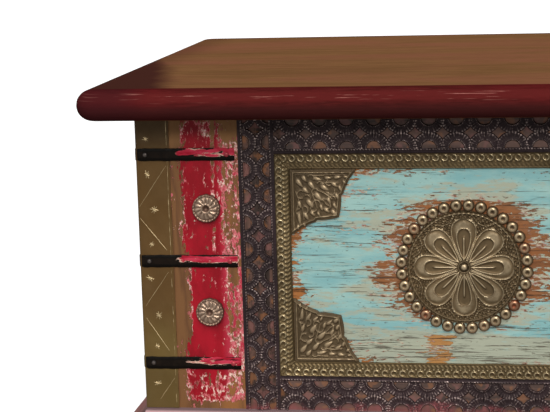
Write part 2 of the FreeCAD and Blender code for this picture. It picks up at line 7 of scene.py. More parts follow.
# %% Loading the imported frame
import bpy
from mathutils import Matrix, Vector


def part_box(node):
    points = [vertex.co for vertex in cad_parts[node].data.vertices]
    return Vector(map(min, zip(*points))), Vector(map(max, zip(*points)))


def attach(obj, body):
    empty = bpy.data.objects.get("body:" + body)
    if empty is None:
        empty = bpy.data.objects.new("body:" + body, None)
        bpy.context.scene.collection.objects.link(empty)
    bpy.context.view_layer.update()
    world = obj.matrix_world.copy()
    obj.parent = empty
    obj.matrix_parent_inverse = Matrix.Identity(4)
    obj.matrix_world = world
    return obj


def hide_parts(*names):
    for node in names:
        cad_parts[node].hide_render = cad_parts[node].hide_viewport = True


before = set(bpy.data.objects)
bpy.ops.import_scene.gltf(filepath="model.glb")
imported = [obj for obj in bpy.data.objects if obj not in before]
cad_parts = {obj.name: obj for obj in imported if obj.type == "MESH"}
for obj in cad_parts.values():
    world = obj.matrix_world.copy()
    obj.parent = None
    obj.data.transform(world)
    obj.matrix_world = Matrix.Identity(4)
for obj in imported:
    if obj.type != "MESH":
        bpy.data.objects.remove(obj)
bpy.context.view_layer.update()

# %% Modules that every step uses
import math
import bpy
import numpy as np
from mathutils import Matrix

# %% [markdown]
# Every metal piece lies on one of the four upright faces of the body. It is easiest to think of a
# face as a sheet of paper: u runs along it to the right, v runs up from its lower edge and w stands
# out of it, all in millimetres. Since u crossed with v points outwards, a grid whose columns run
# along u and whose rows run along v has its faces outwards without any further care.

# %% The four faces of the body, measured on the CAD nodes
post_low, post_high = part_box("front_stile_left")
HALF_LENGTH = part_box("front_stile_right")[1].x * 1000
HALF_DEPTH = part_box("back_boards")[1].y * 1000
BASE = post_low.z * 1000
BODY_HEIGHT = post_high.z * 1000 - BASE
METAL_HEIGHT = BODY_HEIGHT - 0.5
FACES = {
    "front": ((0, -HALF_DEPTH), (1, 0), (0, -1), HALF_LENGTH),
    "right": ((HALF_LENGTH, 0), (0, 1), (1, 0), HALF_DEPTH),
    "back": ((0, HALF_DEPTH), (-1, 0), (0, 1), HALF_LENGTH),
    "left": ((-HALF_LENGTH, 0), (0, -1), (-1, 0), HALF_DEPTH),
}
print("body", 2 * HALF_LENGTH, "by", 2 * HALF_DEPTH, "mm, from", BASE, "up", BODY_HEIGHT)


def on_face(face, u, v, w):
    """Metres from a face's millimetres: origin + u times its level direction + w times its outward one."""
    origin, along, out, _ = FACES[face]
    u, v, w = np.broadcast_arrays(u, v, w)
    x = origin[0] + u * along[0] + w * out[0]
    y = origin[1] + u * along[1] + w * out[1]
    return np.stack([x, y, BASE + v], axis=-1).reshape(-1, 3) / 1000


# %% [markdown]
# A patch is a list of points with its faces, a relief value per point, from 0 in the ground of the
# pattern to 1 on its crests, and a tone per point that differs from one stud to the next. Relief
# and tone become attributes of the mesh, and the metal finishes read them: a hand rubs the crests
# bright and dirt stays in the ground. Whole arrays go into the mesh at once with foreach_set.

# %% Grids, patches and meshes
SHARP_EDGE = 60


def grid_faces(rows, columns, wrap_rows=False, wrap_columns=False):
    """Quads of a grid of points counted row by row; a wrapped side joins its last line to its first."""
    r = np.arange(rows if wrap_rows else rows - 1)
    c = np.arange(columns if wrap_columns else columns - 1)
    r, c = np.meshgrid(r, c, indexing="ij")
    r_next, c_next = (r + 1) % rows, (c + 1) % columns
    quads = [r * columns + c, r * columns + c_next, r_next * columns + c_next, r_next * columns + c]
    return np.stack(quads, axis=-1).reshape(-1, 4)


def flipped(faces):
    """The same faces, turned to look the other way."""
    return [array[:, ::-1] for array in faces]


def tube_faces(rows, columns):
    """Faces of a tube of rings of points, one ring to a row, with one face across each end."""
    ring = np.arange(columns)
    ends = [ring[::-1][None, :], (ring + (rows - 1) * columns)[None, :]]
    return [grid_faces(rows, columns, wrap_columns=True)] + ends


def patch(points, faces, relief=1.0, tone=0.5):
    """A patch of surface: points, a list of face arrays, and relief and tone for every point."""
    count = len(points)
    relief = np.broadcast_to(np.asarray(relief, float).reshape(-1), (count,))
    tone = np.broadcast_to(np.asarray(tone, float).reshape(-1), (count,))
    return points, faces, relief, tone


def mesh_object(name, patches):
    """One mesh of many patches, smooth except where two faces meet at more than SHARP_EDGE degrees."""
    starts = np.cumsum([0] + [len(points) for points, _, _, _ in patches[:-1]])
    points = np.concatenate([p[0] for p in patches])
    faces = [array + start for p, start in zip(patches, starts) for array in p[1]]
    loops = np.concatenate([array.ravel() for array in faces])
    sizes = np.concatenate([np.full(len(array), array.shape[1]) for array in faces])
    mesh = bpy.data.meshes.new(name)
    mesh.vertices.add(len(points))
    mesh.vertices.foreach_set("co", points.ravel())
    mesh.loops.add(len(loops))
    mesh.loops.foreach_set("vertex_index", loops)
    mesh.polygons.add(len(sizes))
    mesh.polygons.foreach_set("loop_start", np.cumsum(sizes) - sizes)
    mesh.polygons.foreach_set("use_smooth", np.ones(len(sizes), bool))
    mesh.update(calc_edges=True)
    for attribute, index in (("relief", 2), ("tone", 3)):
        values = np.concatenate([p[index] for p in patches])
        mesh.attributes.new(attribute, "FLOAT", "POINT").data.foreach_set("value", values)
    mesh.set_sharp_from_angle(angle=math.radians(SHARP_EDGE))
    piece = bpy.data.objects.new(name, mesh)
    bpy.context.scene.collection.objects.link(piece)
    return piece


def add_piece(name, patches, material, slot, *nodes):
    """A finished piece of the chest body: it rides on the body and stands for its CAD nodes."""
    piece = mesh_object(name, patches)
    piece.data.materials.append(material)
    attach(piece, "chest")
    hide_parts(*nodes)
    triangles = sum(len(polygon) * (polygon.shape[1] - 2) for p in patches for polygon in p[1])
    print(name, triangles, "triangles")


# %% Small shape functions


def bell(distance, width):
    """A soft crest: 1 at distance nought, falling as a bell curve of the given width."""
    return np.exp(-(distance / width) ** 2)


def step(value, low, high):
    """A smooth step: 0 below low, 1 above high, with level ends."""
    t = np.clip((value - low) / (high - low), 0, 1)
    return t * t * (3 - 2 * t)


def wobble(value, seed):
    """A smooth uneven line: three sine waves of unrelated lengths added up, between about -1 and 1."""
    waves = np.sin(value * 0.11 + seed * 1.7) + np.sin(value * 0.27 + seed * 3.1)
    return (waves + np.sin(value * 0.53 + seed * 5.9)) / 2.2


def crest(x, y, start, end, width):
    """A raised line: a bell curve of the distance to the straight piece from start to end."""
    run_x, run_y = end[0] - start[0], end[1] - start[1]
    t = ((x - start[0]) * run_x + (y - start[1]) * run_y) / (run_x ** 2 + run_y ** 2)
    t = np.clip(t, 0, 1)
    return bell(np.hypot(x - start[0] - t * run_x, y - start[1] - t * run_y), width)


def leaf_level(x, y, centre, turn, length, width):
    """A drop-shaped leaf: 0 in its middle, 1 on its outline, more outside, and narrower towards one end."""
    c, s = math.cos(math.radians(turn)), math.sin(math.radians(turn))
    along = ((x - centre[0]) * c + (y - centre[1]) * s) / (length / 2)
    across = ((y - centre[1]) * c - (x - centre[0]) * s) / (width / 2)
    taper = np.clip(0.95 - 0.4 * along, 0.3, None)
    return along ** 2 + (across / taper) ** 2


# %% Carrying a profile along a path


def carried(path_s, path_t, profile, height_scale, crest_height, lift=0.0):
    """A profile of (side, height) points carried along a path in the (s, t) plane.

    Each path point gets the profile turned across the path: point = path + side times the path's
    left-hand normal, height = profile height times the scale of that path and profile point.
    The profile runs from its left foot over the top to its right foot, and its back closes it.
    Relief is the height without the lift as a share of crest_height.
    """
    side, height = np.array(profile, float).T
    run_s, run_t = np.gradient(path_s), np.gradient(path_t)
    reach = np.hypot(run_s, run_t)
    normal_s, normal_t = -run_t / reach, run_s / reach
    s = path_s[:, None] + normal_s[:, None] * side
    t = path_t[:, None] + normal_t[:, None] * side
    h = height * height_scale + lift * (height > 0)
    relief = np.clip(height * height_scale / crest_height, 0, 1)
    return s.ravel(), t.ravel(), h.ravel(), tube_faces(*s.shape), relief.ravel()


# %% [markdown]
# The pierced frieze is the darkest metal of the chest. On the real one it is thin iron, cast or
# stamped in running lengths: half rings stand on both edges, each with short ribs across it, and
# where four of them meet they leave a small window with four drawn-in sides. Behind each half ring
# is a half-moon window, and the brown wood shows through both. It could be a flat plate with a
# picture of holes, but from any angle the light gives that away. So each half ring is a profile
# carried along an arc, and its ribs come from raising every other step of the arc.

# %% The frieze pattern
FRIEZE_WIDTH = 39.0
POST_STRIP = 35.6
FRIEZE_PERIOD = 26.41
UPRIGHT_WINDOW = 18.2
RING_INSET = 4.75
RING_OPENING = 7.1
RING_OVERLAP = 1.2
RIB_STEP = 1.12
RAIL_STEP = 1.45
BAND_CREST = 1.9
RING_LIFT = 0.3
EDGE_MARGIN = 1.5
RAIL_HALF = RING_INSET / 2
band_profile = np.array([(1, 0), (1, 0.7), (0.82, 1.55), (0.5, 0.75), (0.1, 0.98), (-0.4, 1.02), (-0.74, 1.4),
                         (-1, 0.6), (-1, 0)])
rail_profile = np.array([(1, 0), (1, 0.6), (0.7, 0.8), (0.2, 0.7), (-0.15, 0.8), (-0.6, 1.45), (-1, 0.8),
                         (-1, 0)])
band_ribs = np.array([0, 0.15, 0.5, 0.15, 0.42, 0.42, 0.5, 0.2, 0])
rail_ribs = np.array([0, 0, 0.05, 0.05, 0.1, 0.5, 0.3, 0])


def ribs(count, seed):
    """One up, one down along a path, each by its own amount, as hand-cut ribs are."""
    k = np.arange(count)
    uneven = np.modf(np.abs(np.sin(k * 12.99 + seed * 4.11)) * 437.58)[0]
    return (np.where(k % 2 == 0, 1, -1) * (0.3 + 0.8 * uneven))[:, None]


def half_ring(s_middle, side, half, length, low_edge, high_edge, number):
    """One half ring on the lower (side -1) or upper (side 1) edge of a strip, bulging inwards."""
    middle = half - RING_INSET
    outer = middle + RING_OVERLAP
    radius, band = (outer + RING_OPENING) / 2, (outer - RING_OPENING) / 2
    steps = int(round(math.pi * radius / RIB_STEP))
    turn = np.linspace(0, math.pi, steps + 1) + (0 if side < 0 else math.pi)
    s = s_middle + radius * np.cos(turn)
    t = side * middle + radius * np.sin(turn)
    keep = (s > -EDGE_MARGIN) & (s < length + EDGE_MARGIN)
    keep = keep & (t > low_edge - EDGE_MARGIN) & (t < high_edge + EDGE_MARGIN)
    s, t = s[keep], t[keep]
    if len(s) < 3:
        return None
    scale = 1 + ribs(len(s), number + side) * band_ribs
    lift = RING_LIFT * ((number + (side > 0)) % 2)
    return carried(s, t, band_profile * (band, 1), scale, BAND_CREST, lift)


def frieze_strip(length, period, first_window, half, low_edge, high_edge):
    """All parts of one strip in (s, t, height), with its windows at first_window + k times period."""
    parts = []
    for k in range(-1, int(length / period) + 2):
        s_middle = first_window + (k - 0.5) * period
        for side in (-1, 1):
            parts.append(half_ring(s_middle, side, half, length, low_edge, high_edge, k))
    path = np.linspace(0, length, int(length / RAIL_STEP))
    for side in (-1, 1):
        middle = side * (half - RAIL_HALF)
        if low_edge < middle < high_edge:
            turned = slice(None) if side > 0 else slice(None, None, -1)
            shape = rail_profile[turned] * (side * RAIL_HALF, 1)
            scale = 1 + ribs(len(path), side) * rail_ribs[turned]
            parts.append(carried(path, np.full(len(path), middle), shape, scale, BAND_CREST))
    return [(np.clip(s, 0, length), np.clip(t, low_edge, high_edge), h, faces, relief)
            for s, t, h, faces, relief in (part for part in parts if part is not None)]


def upright_strip(face, u_middle, half):
    """A strip that runs up the face: s is v, and t runs to the left."""
    strip = frieze_strip(METAL_HEIGHT, FRIEZE_PERIOD, UPRIGHT_WINDOW, half, -half, half)
    return [patch(on_face(face, u_middle - t, s, h), faces, r) for s, t, h, faces, r in strip]


def level_strip(face, u_low, u_high, v_middle, first_window, low_edge, high_edge):
    """A strip that runs along the face: s is u, and t is v."""
    strip = frieze_strip(u_high - u_low, FRIEZE_PERIOD, first_window, FRIEZE_WIDTH / 2, low_edge, high_edge)
    return [patch(on_face(face, u_low + s, v_middle + t, h), faces, r) for s, t, h, faces, r in strip]


# %% Where the panels and strips of each face are
DRESSED_FACES = ("front", "left", "right")
BOTTOM_FRIEZE = 35.0
LOW_WINDOW = 1.3
HIGH_WINDOW = 5.4
PANEL_HEIGHT = 223.0
PANEL_MIDDLE = BOTTOM_FRIEZE + PANEL_HEIGHT / 2
FRONT_PANEL = 366.0
SIDE_PANEL = 246.0
FRONT_CENTRE = FRIEZE_WIDTH / 2 + FRONT_PANEL / 2
PANELS = {
    "front_left": ("front", -FRONT_CENTRE, FRONT_PANEL),
    "front_right": ("front", FRONT_CENTRE, FRONT_PANEL),
    "left": ("left", 0.0, SIDE_PANEL),
    "right": ("right", 0.0, SIDE_PANEL),
}


def face_uprights(face):
    """The upright strips of a face: slimmer ones beside the painted posts, a full one between panels."""
    ends = [(centre, width) for f, centre, width in PANELS.values() if f == face]
    middles = sorted({round(c + side * (w + FRIEZE_WIDTH) / 2, 3) for c, w in ends for side in (-1, 1)})
    parts = []
    for middle in middles:
        width = FRIEZE_WIDTH if abs(middle) < 1 else POST_STRIP
        parts += upright_strip(face, middle - math.copysign((FRIEZE_WIDTH - width) / 2, middle), width / 2)
    return parts


def face_levels(face):
    """The level strips over and under each panel; the lower one is cut off by the plinth."""
    parts = []
    for f, centre, width in PANELS.values():
        if f == face:
            low, high = centre - width / 2, centre + width / 2
            under = BOTTOM_FRIEZE - FRIEZE_WIDTH / 2
            over = BOTTOM_FRIEZE + PANEL_HEIGHT + FRIEZE_WIDTH / 2
            parts += level_strip(face, low, high, under, LOW_WINDOW, -under + 0.1, FRIEZE_WIDTH / 2)
            parts += level_strip(face, low, high, over, HIGH_WINDOW, -FRIEZE_WIDTH / 2, METAL_HEIGHT - over)
    return parts


# %% [markdown]
# The trim is a stamped brass strip, mitred at the corners, that hides the joint between a panel and
# its frame. Its outer half carries a row of small rings, each open on one side. Then comes a row of
# beads, two to a ring, and inside them slanted bars like a rope. The whole frame is one closed band
# of grid: the columns go across the strip, the rows go once round the panel, and the height comes
# from the distance along the side and the distance in from the outer edge.

# %% The trim pattern and its frame
TRIM_WIDTH = 15.0
TRIM_BASE = 1.3
TRIM_RELIEF = 2.0
SCROLL_PITCH = 8.7
ROPE_PITCH = 4.35
TRIM_STEP = 0.72
TOP_TRIM_LEFT = 0.4


def trim_height(s, t, left):
    """Relief from 0 to 1: open rings in the outer half, beads, slanted bars inside, ridges at the edges.

    left is the share of the beads and bars that wear has left.
    """
    ring_s = s - SCROLL_PITCH * np.round(s / SCROLL_PITCH)
    radius = np.hypot(ring_s, t - 4.4)
    angle = np.arctan2(t - 4.4, ring_s)
    opening = 1 - 0.8 * bell(np.angle(np.exp(1j * (angle + 2.5))), 0.8)
    scroll = 0.95 * bell(radius - 2.75, 0.85) * opening
    dot = 0.8 * bell(np.hypot(np.abs(ring_s) - SCROLL_PITCH / 2, t - 2.2), 0.8)
    bead_s = s - ROPE_PITCH * np.round(s / ROPE_PITCH)
    bead = bell(np.hypot(bead_s, t - 8.6), 1.05)
    slant = np.sin(math.pi * (s / ROPE_PITCH + 0.5 - 0.42 * (t - 10.8) / 2.6)) ** 2
    rope = slant * step(t, 8.8, 10.0) * (1 - step(t, 12.4, 13.6))
    ridges = np.maximum(bell(t - 0.8, 0.5), bell(t - 14.3, 0.5))
    raised = np.maximum.reduce([scroll, dot, left * bead, left * 0.62 * rope, 0.6 * ridges])
    return np.clip(0.22 + 0.78 * raised, 0, 1)


def trim_frame(name):
    """The mitred frame, one side after the other from the top; wear has taken the top's pattern down.

    On both ends of a side, s shrinks by the distance from the outer edge.
    """
    face, centre, width = PANELS[name]
    inner = np.linspace(0.25, TRIM_WIDTH - 0.25, 24)
    t = np.concatenate([[0, 0], inner, [TRIM_WIDTH, TRIM_WIDTH]])
    u_rows, v_rows, relief_rows = [], [], []
    for quarter in range(4):
        half, reach = (width / 2, PANEL_HEIGHT / 2) if quarter % 2 == 0 else (PANEL_HEIGHT / 2, width / 2)
        rows = int(round(2 * half / TRIM_STEP))
        share = np.linspace(-1, 1, rows, endpoint=False)[:, None]
        s = share * (half - t)
        from_mitre = (half - t) * (1 - np.abs(share))
        relief = trim_height(s, t + 0 * s, TOP_TRIM_LEFT if quarter == 0 else 1.0)
        corner = bell(from_mitre, 0.8)
        relief = np.maximum(relief * step(from_mitre, 0.2, 1.6), 0.8 * corner)
        outward = reach - t + 0 * s
        c, k = [(1, 0), (0, -1), (-1, 0), (0, 1)][quarter]
        u_rows.append(s * c + outward * -k)
        v_rows.append(s * k + outward * c)
        relief_rows.append(relief)
    u, v, relief = (np.concatenate(rows) for rows in (u_rows, v_rows, relief_rows))
    edge = step(t, 0, 1.0) * step(TRIM_WIDTH - t, 0, 1.0)
    w = TRIM_BASE * (0.55 + 0.45 * edge) + TRIM_RELIEF * relief
    w[:, [0, -1]] = 0
    faces = [grid_faces(len(u), len(t), wrap_rows=True, wrap_columns=True)]
    points = on_face(face, centre + u, PANEL_MIDDLE + v, w)
    return [patch(points, faces, relief)]


# %% [markdown]
# Each corner of a panel carries a stepped plate of thin brass, beaten over a foliage pattern: a
# raised border, a cluster of four leaves near the square corner and curling stems that run into
# both arms. Points are laid out in rings round the square corner, out to the plate's edge in each
# direction, so that no triangle crosses the outline.

# %% The corner plate
PLATE_LEG = 64.0
PLATE_BASE = 0.7
PLATE_RELIEF = 2.9
half_outline = np.array([
    (1, 0), (1, 0.03), (0.955, 0.085), (0.912, 0.145), (0.878, 0.205), (0.852, 0.262), (0.828, 0.322),
    (0.81, 0.375), (0.775, 0.40), (0.735, 0.735),
]) * PLATE_LEG
outline = np.concatenate([half_outline, half_outline[-2::-1, ::-1]])
border = half_outline * 0.96 - 0.3
PLATE_LEAVES = [
    ((9.5, 13.6), 50, 10.5, 4.6), ((14.4, 9.2), 52, 7.5, 4.2), ((21.5, 15.8), 50, 10, 4.6),
    ((15.4, 20.6), 40, 8.5, 4.4), ((27.8, 27.0), 47, 11, 5.0), ((19.4, 33.6), 54, 10.5, 4.8),
    ((34.0, 18.2), 32, 10, 4.6), ((38.0, 30.6), 60, 7, 3.6), ((43.4, 35.6), 66, 6.5, 3.2),
    ((35.6, 40.2), 40, 7.5, 3.6), ((42.4, 42.4), 45, 7, 4.0), ((30.4, 37.4), 74, 7, 3.4),
    ((9.2, 34.6), 70, 8.5, 3.8), ((8.6, 48.6), 84, 13, 3.8), ((15.4, 46.2), 60, 9, 3.6),
    ((21.8, 43.6), 44, 7, 3.2), ((27.6, 43.8), 62, 5.5, 2.8), ((27.6, 9.4), 14, 9, 3.8),
    ((37.6, 8.2), 0, 7.5, 3.6), ((46.8, 7.6), -6, 7.5, 3.4), ((43.8, 15.0), 38, 8, 3.8),
    ((49.0, 18.6), 70, 6.5, 3.0), ((45.6, 26.2), 72, 6.5, 3.0), ((54.8, 7.2), 8, 5, 2.6),
    ((7.0, 57.0), 84, 5.5, 2.4), ((13.4, 54.6), 70, 5.5, 2.4), ((53.4, 12.4), 44, 5, 2.4),
]
PLATE_CURLS = [
    ((10.6, 24.6), 3.9, 70, 300), ((16.2, 28.4), 3.4, -120, 70), ((24.6, 22.0), 3.3, 120, 330),
    ((25.6, 33.8), 3.6, 150, 360), ((34.2, 25.6), 3.6, -80, 130), ((13.6, 39.8), 3.5, -100, 110),
    ((22.6, 38.4), 2.9, 20, 220), ((29.4, 15.0), 3.0, -160, 30), ((40.6, 21.6), 3.2, -30, 170),
    ((38.2, 13.2), 2.7, 60, 250), ((36.4, 35.6), 3.0, -60, 120), ((20.6, 8.0), 2.9, 200, 400),
    ((41.4, 28.6), 2.6, 200, 380), ((7.8, 41.4), 2.6, 110, 290),
]
PLATE_STEMS = [
    ((5.5, 22), (8.2, 30)), ((8.2, 30), (6.6, 40)), ((22, 25), (25, 33)), ((25, 33), (26.2, 38)),
    ((12, 38), (13, 50)), ((26, 20), (35, 24)), ((35, 24), (41, 29)), ((30, 14), (39, 12.5)),
    ((39, 12.5), (47, 13.5)), ((24, 6.2), (33, 5.8)), ((31, 29), (36, 35)), ((36, 35), (40, 37)),
]


def curl(x, y, centre, radius, first, last):
    """A raised arc: a bell curve of the distance to a circle, between two angles in degrees."""
    turn = np.degrees(np.arctan2(y - centre[1], x - centre[0]))
    beyond = np.abs(np.mod(turn - (first + last) / 2 + 180, 360) - 180) - (last - first) / 2
    return bell(np.hypot(x - centre[0], y - centre[1]) - radius, 0.8) * (1 - step(beyond, 0, 14))


def plate_height(x, y):
    """Relief from 0 to 1: border lines, leaves and stems that rise out of a ground at 0.38.

    A leaf rises with 1 minus its level, to a rounded ridge, and the punch has driven a moat in round it.
    """
    leaves = np.minimum.reduce([leaf_level(x, y, at, turn, 1.12 * length, 1.16 * width)
                                for at, turn, length, width in PLATE_LEAVES])
    lines = [crest(x, y, (3.0, 3.0), (59, 3.0), 0.95), crest(x, y, (3.0, 3.0), (3.0, 59), 0.95)]
    for first, last in zip(border[1:-1], border[2:]):
        lines += [crest(x, y, first, last, 0.85), crest(x, y, first[::-1], last[::-1], 0.85)]
    stems = [crest(x, y, first, last, 0.75) for first, last in PLATE_STEMS]
    stems += [curl(x, y, *arc) for arc in PLATE_CURLS]
    inner = np.maximum(bell(x - 5.4, 0.5) * (y > 4.8) * (y < 54), bell(y - 5.4, 0.5) * (x > 4.8) * (x < 54))
    hammered = 0.06 * np.sin(1.9 * x + 0.7 * y) * np.sin(2.1 * y - 0.5 * x)
    ground = 0.38 + hammered - 0.32 * bell(leaves - 1.5, 0.42)
    lines, stems = np.maximum.reduce(lines), np.maximum.reduce(stems)
    raised = np.maximum.reduce([0.12 + 0.88 * lines, 0.35 + 0.46 * stems, 0.3 + 0.3 * inner])
    petals = 0.42 + 0.58 * np.clip(1 - leaves, 0, 1) ** 0.75
    return np.clip(np.where(leaves < 1, np.maximum(petals, raised), np.maximum(ground, raised)), 0, 1)


def corner_plate(face, u_corner, v_corner, side_u, side_v):
    """One plate; side_u and side_v say which way its two legs run from its square corner."""
    rings, spokes = 84, 124
    angle = np.linspace(0, math.pi / 2, spokes + 1)
    reach = np.interp(angle, np.arctan2(outline[:, 1], outline[:, 0]), np.hypot(*outline.T))
    share = np.arange(1, rings + 1)[:, None] / rings
    x = np.concatenate([[0.0], (share * reach * np.cos(angle)).ravel()])
    y = np.concatenate([[0.0], (share * reach * np.sin(angle)).ravel()])
    relief = plate_height(x, y)
    w = PLATE_BASE + PLATE_RELIEF * relief
    fan = np.stack([np.zeros(spokes, int), np.arange(1, spokes + 1), np.arange(2, spokes + 2)], axis=-1)
    rim = np.concatenate([[0], (rings - 1) * (spokes + 1) + 1 + np.arange(spokes + 1)])
    rim = np.concatenate([[0], 1 + (spokes + 1) * np.arange(rings - 1), rim[1:],
                          1 + spokes + (spokes + 1) * np.arange(rings - 2, -1, -1)])
    w[rim] = PLATE_BASE + 0.3 * PLATE_RELIEF
    foot = len(x) + np.arange(len(rim))
    x, y, w = np.append(x, x[rim]), np.append(y, y[rim]), np.append(w, np.zeros(len(rim)))
    relief = np.append(relief, np.zeros(len(rim)))
    # Rings run inside out, so the rows go outwards and the columns turn from u to v: the quads are reversed.
    spread = grid_faces(rings, spokes + 1)[:, ::-1] + 1
    along, below = np.append(rim, rim[0]), np.append(foot, foot[0])
    skirt = np.stack([along[:-1], below[:-1], below[1:], along[1:]], axis=-1)
    faces = [fan, spread, skirt, foot[::-1][None, :]]
    if side_u * side_v < 0:
        faces = flipped(faces)
    return patch(on_face(face, u_corner + side_u * x, v_corner + side_v * y, w), faces, relief)


# %% [markdown]
# The medallion is a disc of brass beaten from behind: eight petals, each a raised outline with a
# smaller one inside it and a ridge down its middle, a domed boss, a thin raised circle near the rim
# and little arcs in the gaps. In polar rings round the centre the pattern repeats every 45 degrees,
# so the relief is worked out from the radius and the angle to the nearest petal.

# %% The medallion
MEDALLION_RADIUS = 55.6
MEDALLION_BASE = 0.8
MEDALLION_RELIEF = 3.0
MEDALLION_SPOKES = 400
MEDALLION_RINGS = 98


def petal_half_width(x, root, tip, width):
    """Half width of a petal outline at distance x: it fills its sector, then closes in a round tip."""
    q = np.clip((x - root) / (tip - root), 0, 1)
    return np.minimum(width * q ** 0.6 * np.sqrt(np.clip(1 - q ** 5, 0, 1)), np.maximum(0.4142 * x - 0.6, 0))


def petal_distance(x, y, root, tip, width):
    """Distance to the petal outline, negative inside: the gap across, flattened by the outline's slope."""
    here = petal_half_width(x, root, tip, width)
    slope = (petal_half_width(x + 0.2, root, tip, width) - petal_half_width(x - 0.2, root, tip, width)) / 0.4
    gap = (np.abs(y) - here) / np.sqrt(1 + np.clip(slope, -9, 9) ** 2)
    return np.where(x > tip, np.hypot(x - tip, y), gap)


def medallion_height(r, turn):
    """Relief from 0 to 1 at a radius and an angle.

    A petal is a rounded band between two outlines, the inner of them the higher, round a hollow
    with a ridge along its middle. The outlines are notched like rope, the ground outside is stippled.
    """
    sector = math.pi / 4
    offset = turn - sector * np.round(turn / sector)
    x, y = r * np.cos(offset), r * np.sin(offset)
    outer = petal_distance(x, y, 4.5, 47.8, 16.0)
    inner = petal_distance(x, y, 8.5, 38.5, 9.2)
    away = step(r, 5.4, 7.2)
    band = 0.42 + 0.26 * step(-outer, 0.5, 6.5)
    hollow = 0.50 - 0.26 * step(-inner, 0, 2.8)
    stipple = np.clip(np.sin(1.5 * r) * np.sin(np.round(r / 2.094) * 0.9 + turn * 72), 0, 1) ** 0.7
    ground = 0.12 + 0.72 * stipple
    notch = 0.90 + 0.10 * np.sin(3.2 * (x + 0.6 * np.abs(y)))
    surface = np.where(outer > 0, ground, np.where(inner > 0, band, hollow))
    between = np.abs(offset) - sector / 2
    bx, by = r * np.cos(between), r * np.sin(between)
    parts = [
        surface,
        1.02 * bell(outer, 1.05) * away * notch,
        1.06 * bell(inner, 1.05) * away * (r < 40) * notch,
        0.88 * bell(y, 1.35) * away * (1 - step(r, 27, 33)),
        0.72 * bell(np.hypot(bx - 58.0, by) - 13.0, 0.75) * (r < 51) * (outer > 1.2),
        0.95 * bell(np.hypot(bx - 48.6, by), 1.1),
        0.85 * bell(r - 52.9, 0.8),
        0.30 * (r < 6.4),
        0.70 * bell(r - 5.5, 0.85),
        0.98 * np.sqrt(np.clip(1 - (r / 3.9) ** 2, 0, 1)),
    ]
    return np.clip(np.maximum.reduce(parts), 0, 1)


def polar_disc(face, u, v, radii, spokes, height, base, scale, outline_of=None, tone=0.5):
    """A closed disc: rings from the rim inwards, a fan at the centre, a skirt and a flat back."""
    turn = np.arange(spokes) * 2 * math.pi / spokes
    rim = 1.0 if outline_of is None else outline_of(turn)
    r = radii[:, None] * rim * np.ones(spokes)
    turns = turn + 0 * r
    relief = height(r, turns)
    relief = np.vstack([np.zeros(spokes), relief])
    r, turns = np.vstack([r[:1], r]), np.vstack([turns[:1], turns])
    w = base + scale * relief
    w[0] = 0.0
    centre_relief = height(np.zeros(1), np.zeros(1))
    count = r.size
    x = np.append((r * np.sin(turns)).ravel(), 0.0)
    y = np.append((r * np.cos(turns)).ravel(), 0.0)
    w = np.append(w.ravel(), base + scale * centre_relief)
    relief = np.append(relief.ravel(), centre_relief)
    # The angle runs clockwise from straight up, so every face is turned over.
    last = count - spokes + np.arange(spokes)
    fan = np.stack([last, np.roll(last, -1), np.full(spokes, count)], axis=-1)
    back = np.arange(spokes)[::-1][None, :]
    faces = flipped([grid_faces(len(r), spokes, wrap_columns=True), fan, back])
    return patch(on_face(face, u + x, v + y, w), faces, 0.2 + 0.8 * relief, tone)


def medallion(name):
    """The whole disc of one panel."""
    face, centre, _ = PANELS[name]
    radii = np.concatenate([[MEDALLION_RADIUS], np.linspace(MEDALLION_RADIUS - 0.5, 0.6, MEDALLION_RINGS)])
    return [polar_disc(face, centre, PANEL_MIDDLE, radii, MEDALLION_SPOKES, medallion_height, MEDALLION_BASE,
                       MEDALLION_RELIEF)]


# %% [markdown]
# Three sizes of nail hold the dress: dome studs edge to edge round the medallion, larger rosettes
# on the painted posts, and small nails through the straps. A stud is a short profile turned about
# its own axis. Because the ring studs come by the dozen, each has about sixty faces, and one array
# holds them all: the shape's points plus the row of places.

# %% Studs and nails
RING_STUDS = 32
RING_STUD_CIRCLE = 60.7
RING_STUD_TURN = 0.4


def turned_stud(radii, heights, relief, segments):
    """A stud in its own frame: rings from the foot to the crown, a fan at the crown and a flat foot."""
    turn = np.arange(segments) * 2 * math.pi / segments
    radii = np.array(radii, float)
    x = np.append((radii[:-1, None] * np.cos(turn)).ravel(), 0.0)
    y = np.append((radii[:-1, None] * np.sin(turn)).ravel(), 0.0)
    h = np.append(np.repeat(heights[:-1], segments), heights[-1])
    shine = np.append(np.repeat(relief[:-1], segments), relief[-1])
    last = len(x) - 1 - segments + np.arange(segments)
    fan = np.stack([last, np.roll(last, -1), np.full(segments, len(x) - 1)], axis=-1)
    faces = [grid_faces(len(radii) - 1, segments, wrap_columns=True), fan, np.arange(segments)[::-1][None, :]]
    return x, y, h, shine, faces


def studs_at(face, shape, places):
    """The same stud at many places (u, v, w, tone) of a face."""
    x, y, h, shine, faces = shape
    places = np.array(places, float)
    u, v, w = places[:, :1] + x, places[:, 1:2] + y, places[:, 2:3] + h
    shift = np.arange(len(places))[:, None, None] * len(x)
    spread = [(array[None] + shift).reshape(-1, array.shape[1]) for array in faces]
    relief, tone = np.tile(shine, len(places)), np.repeat(places[:, 3], len(x))
    return patch(on_face(face, u.ravel(), v.ravel(), w.ravel()), spread, relief, tone)


ring_stud = turned_stud((5.9, 5.85, 5.2, 4.0, 2.6, 1.5, 0), (0, 1.2, 2.7, 3.8, 4.2, 3.5, 2.9),
                        (0.1, 0.3, 0.62, 0.9, 0.95, 0.35, 0.2), 14)
strap_nail = turned_stud((2.6, 2.5, 1.4, 0), (0, 0.7, 1.25, 1.4), (0.2, 0.4, 0.9, 1), 8)


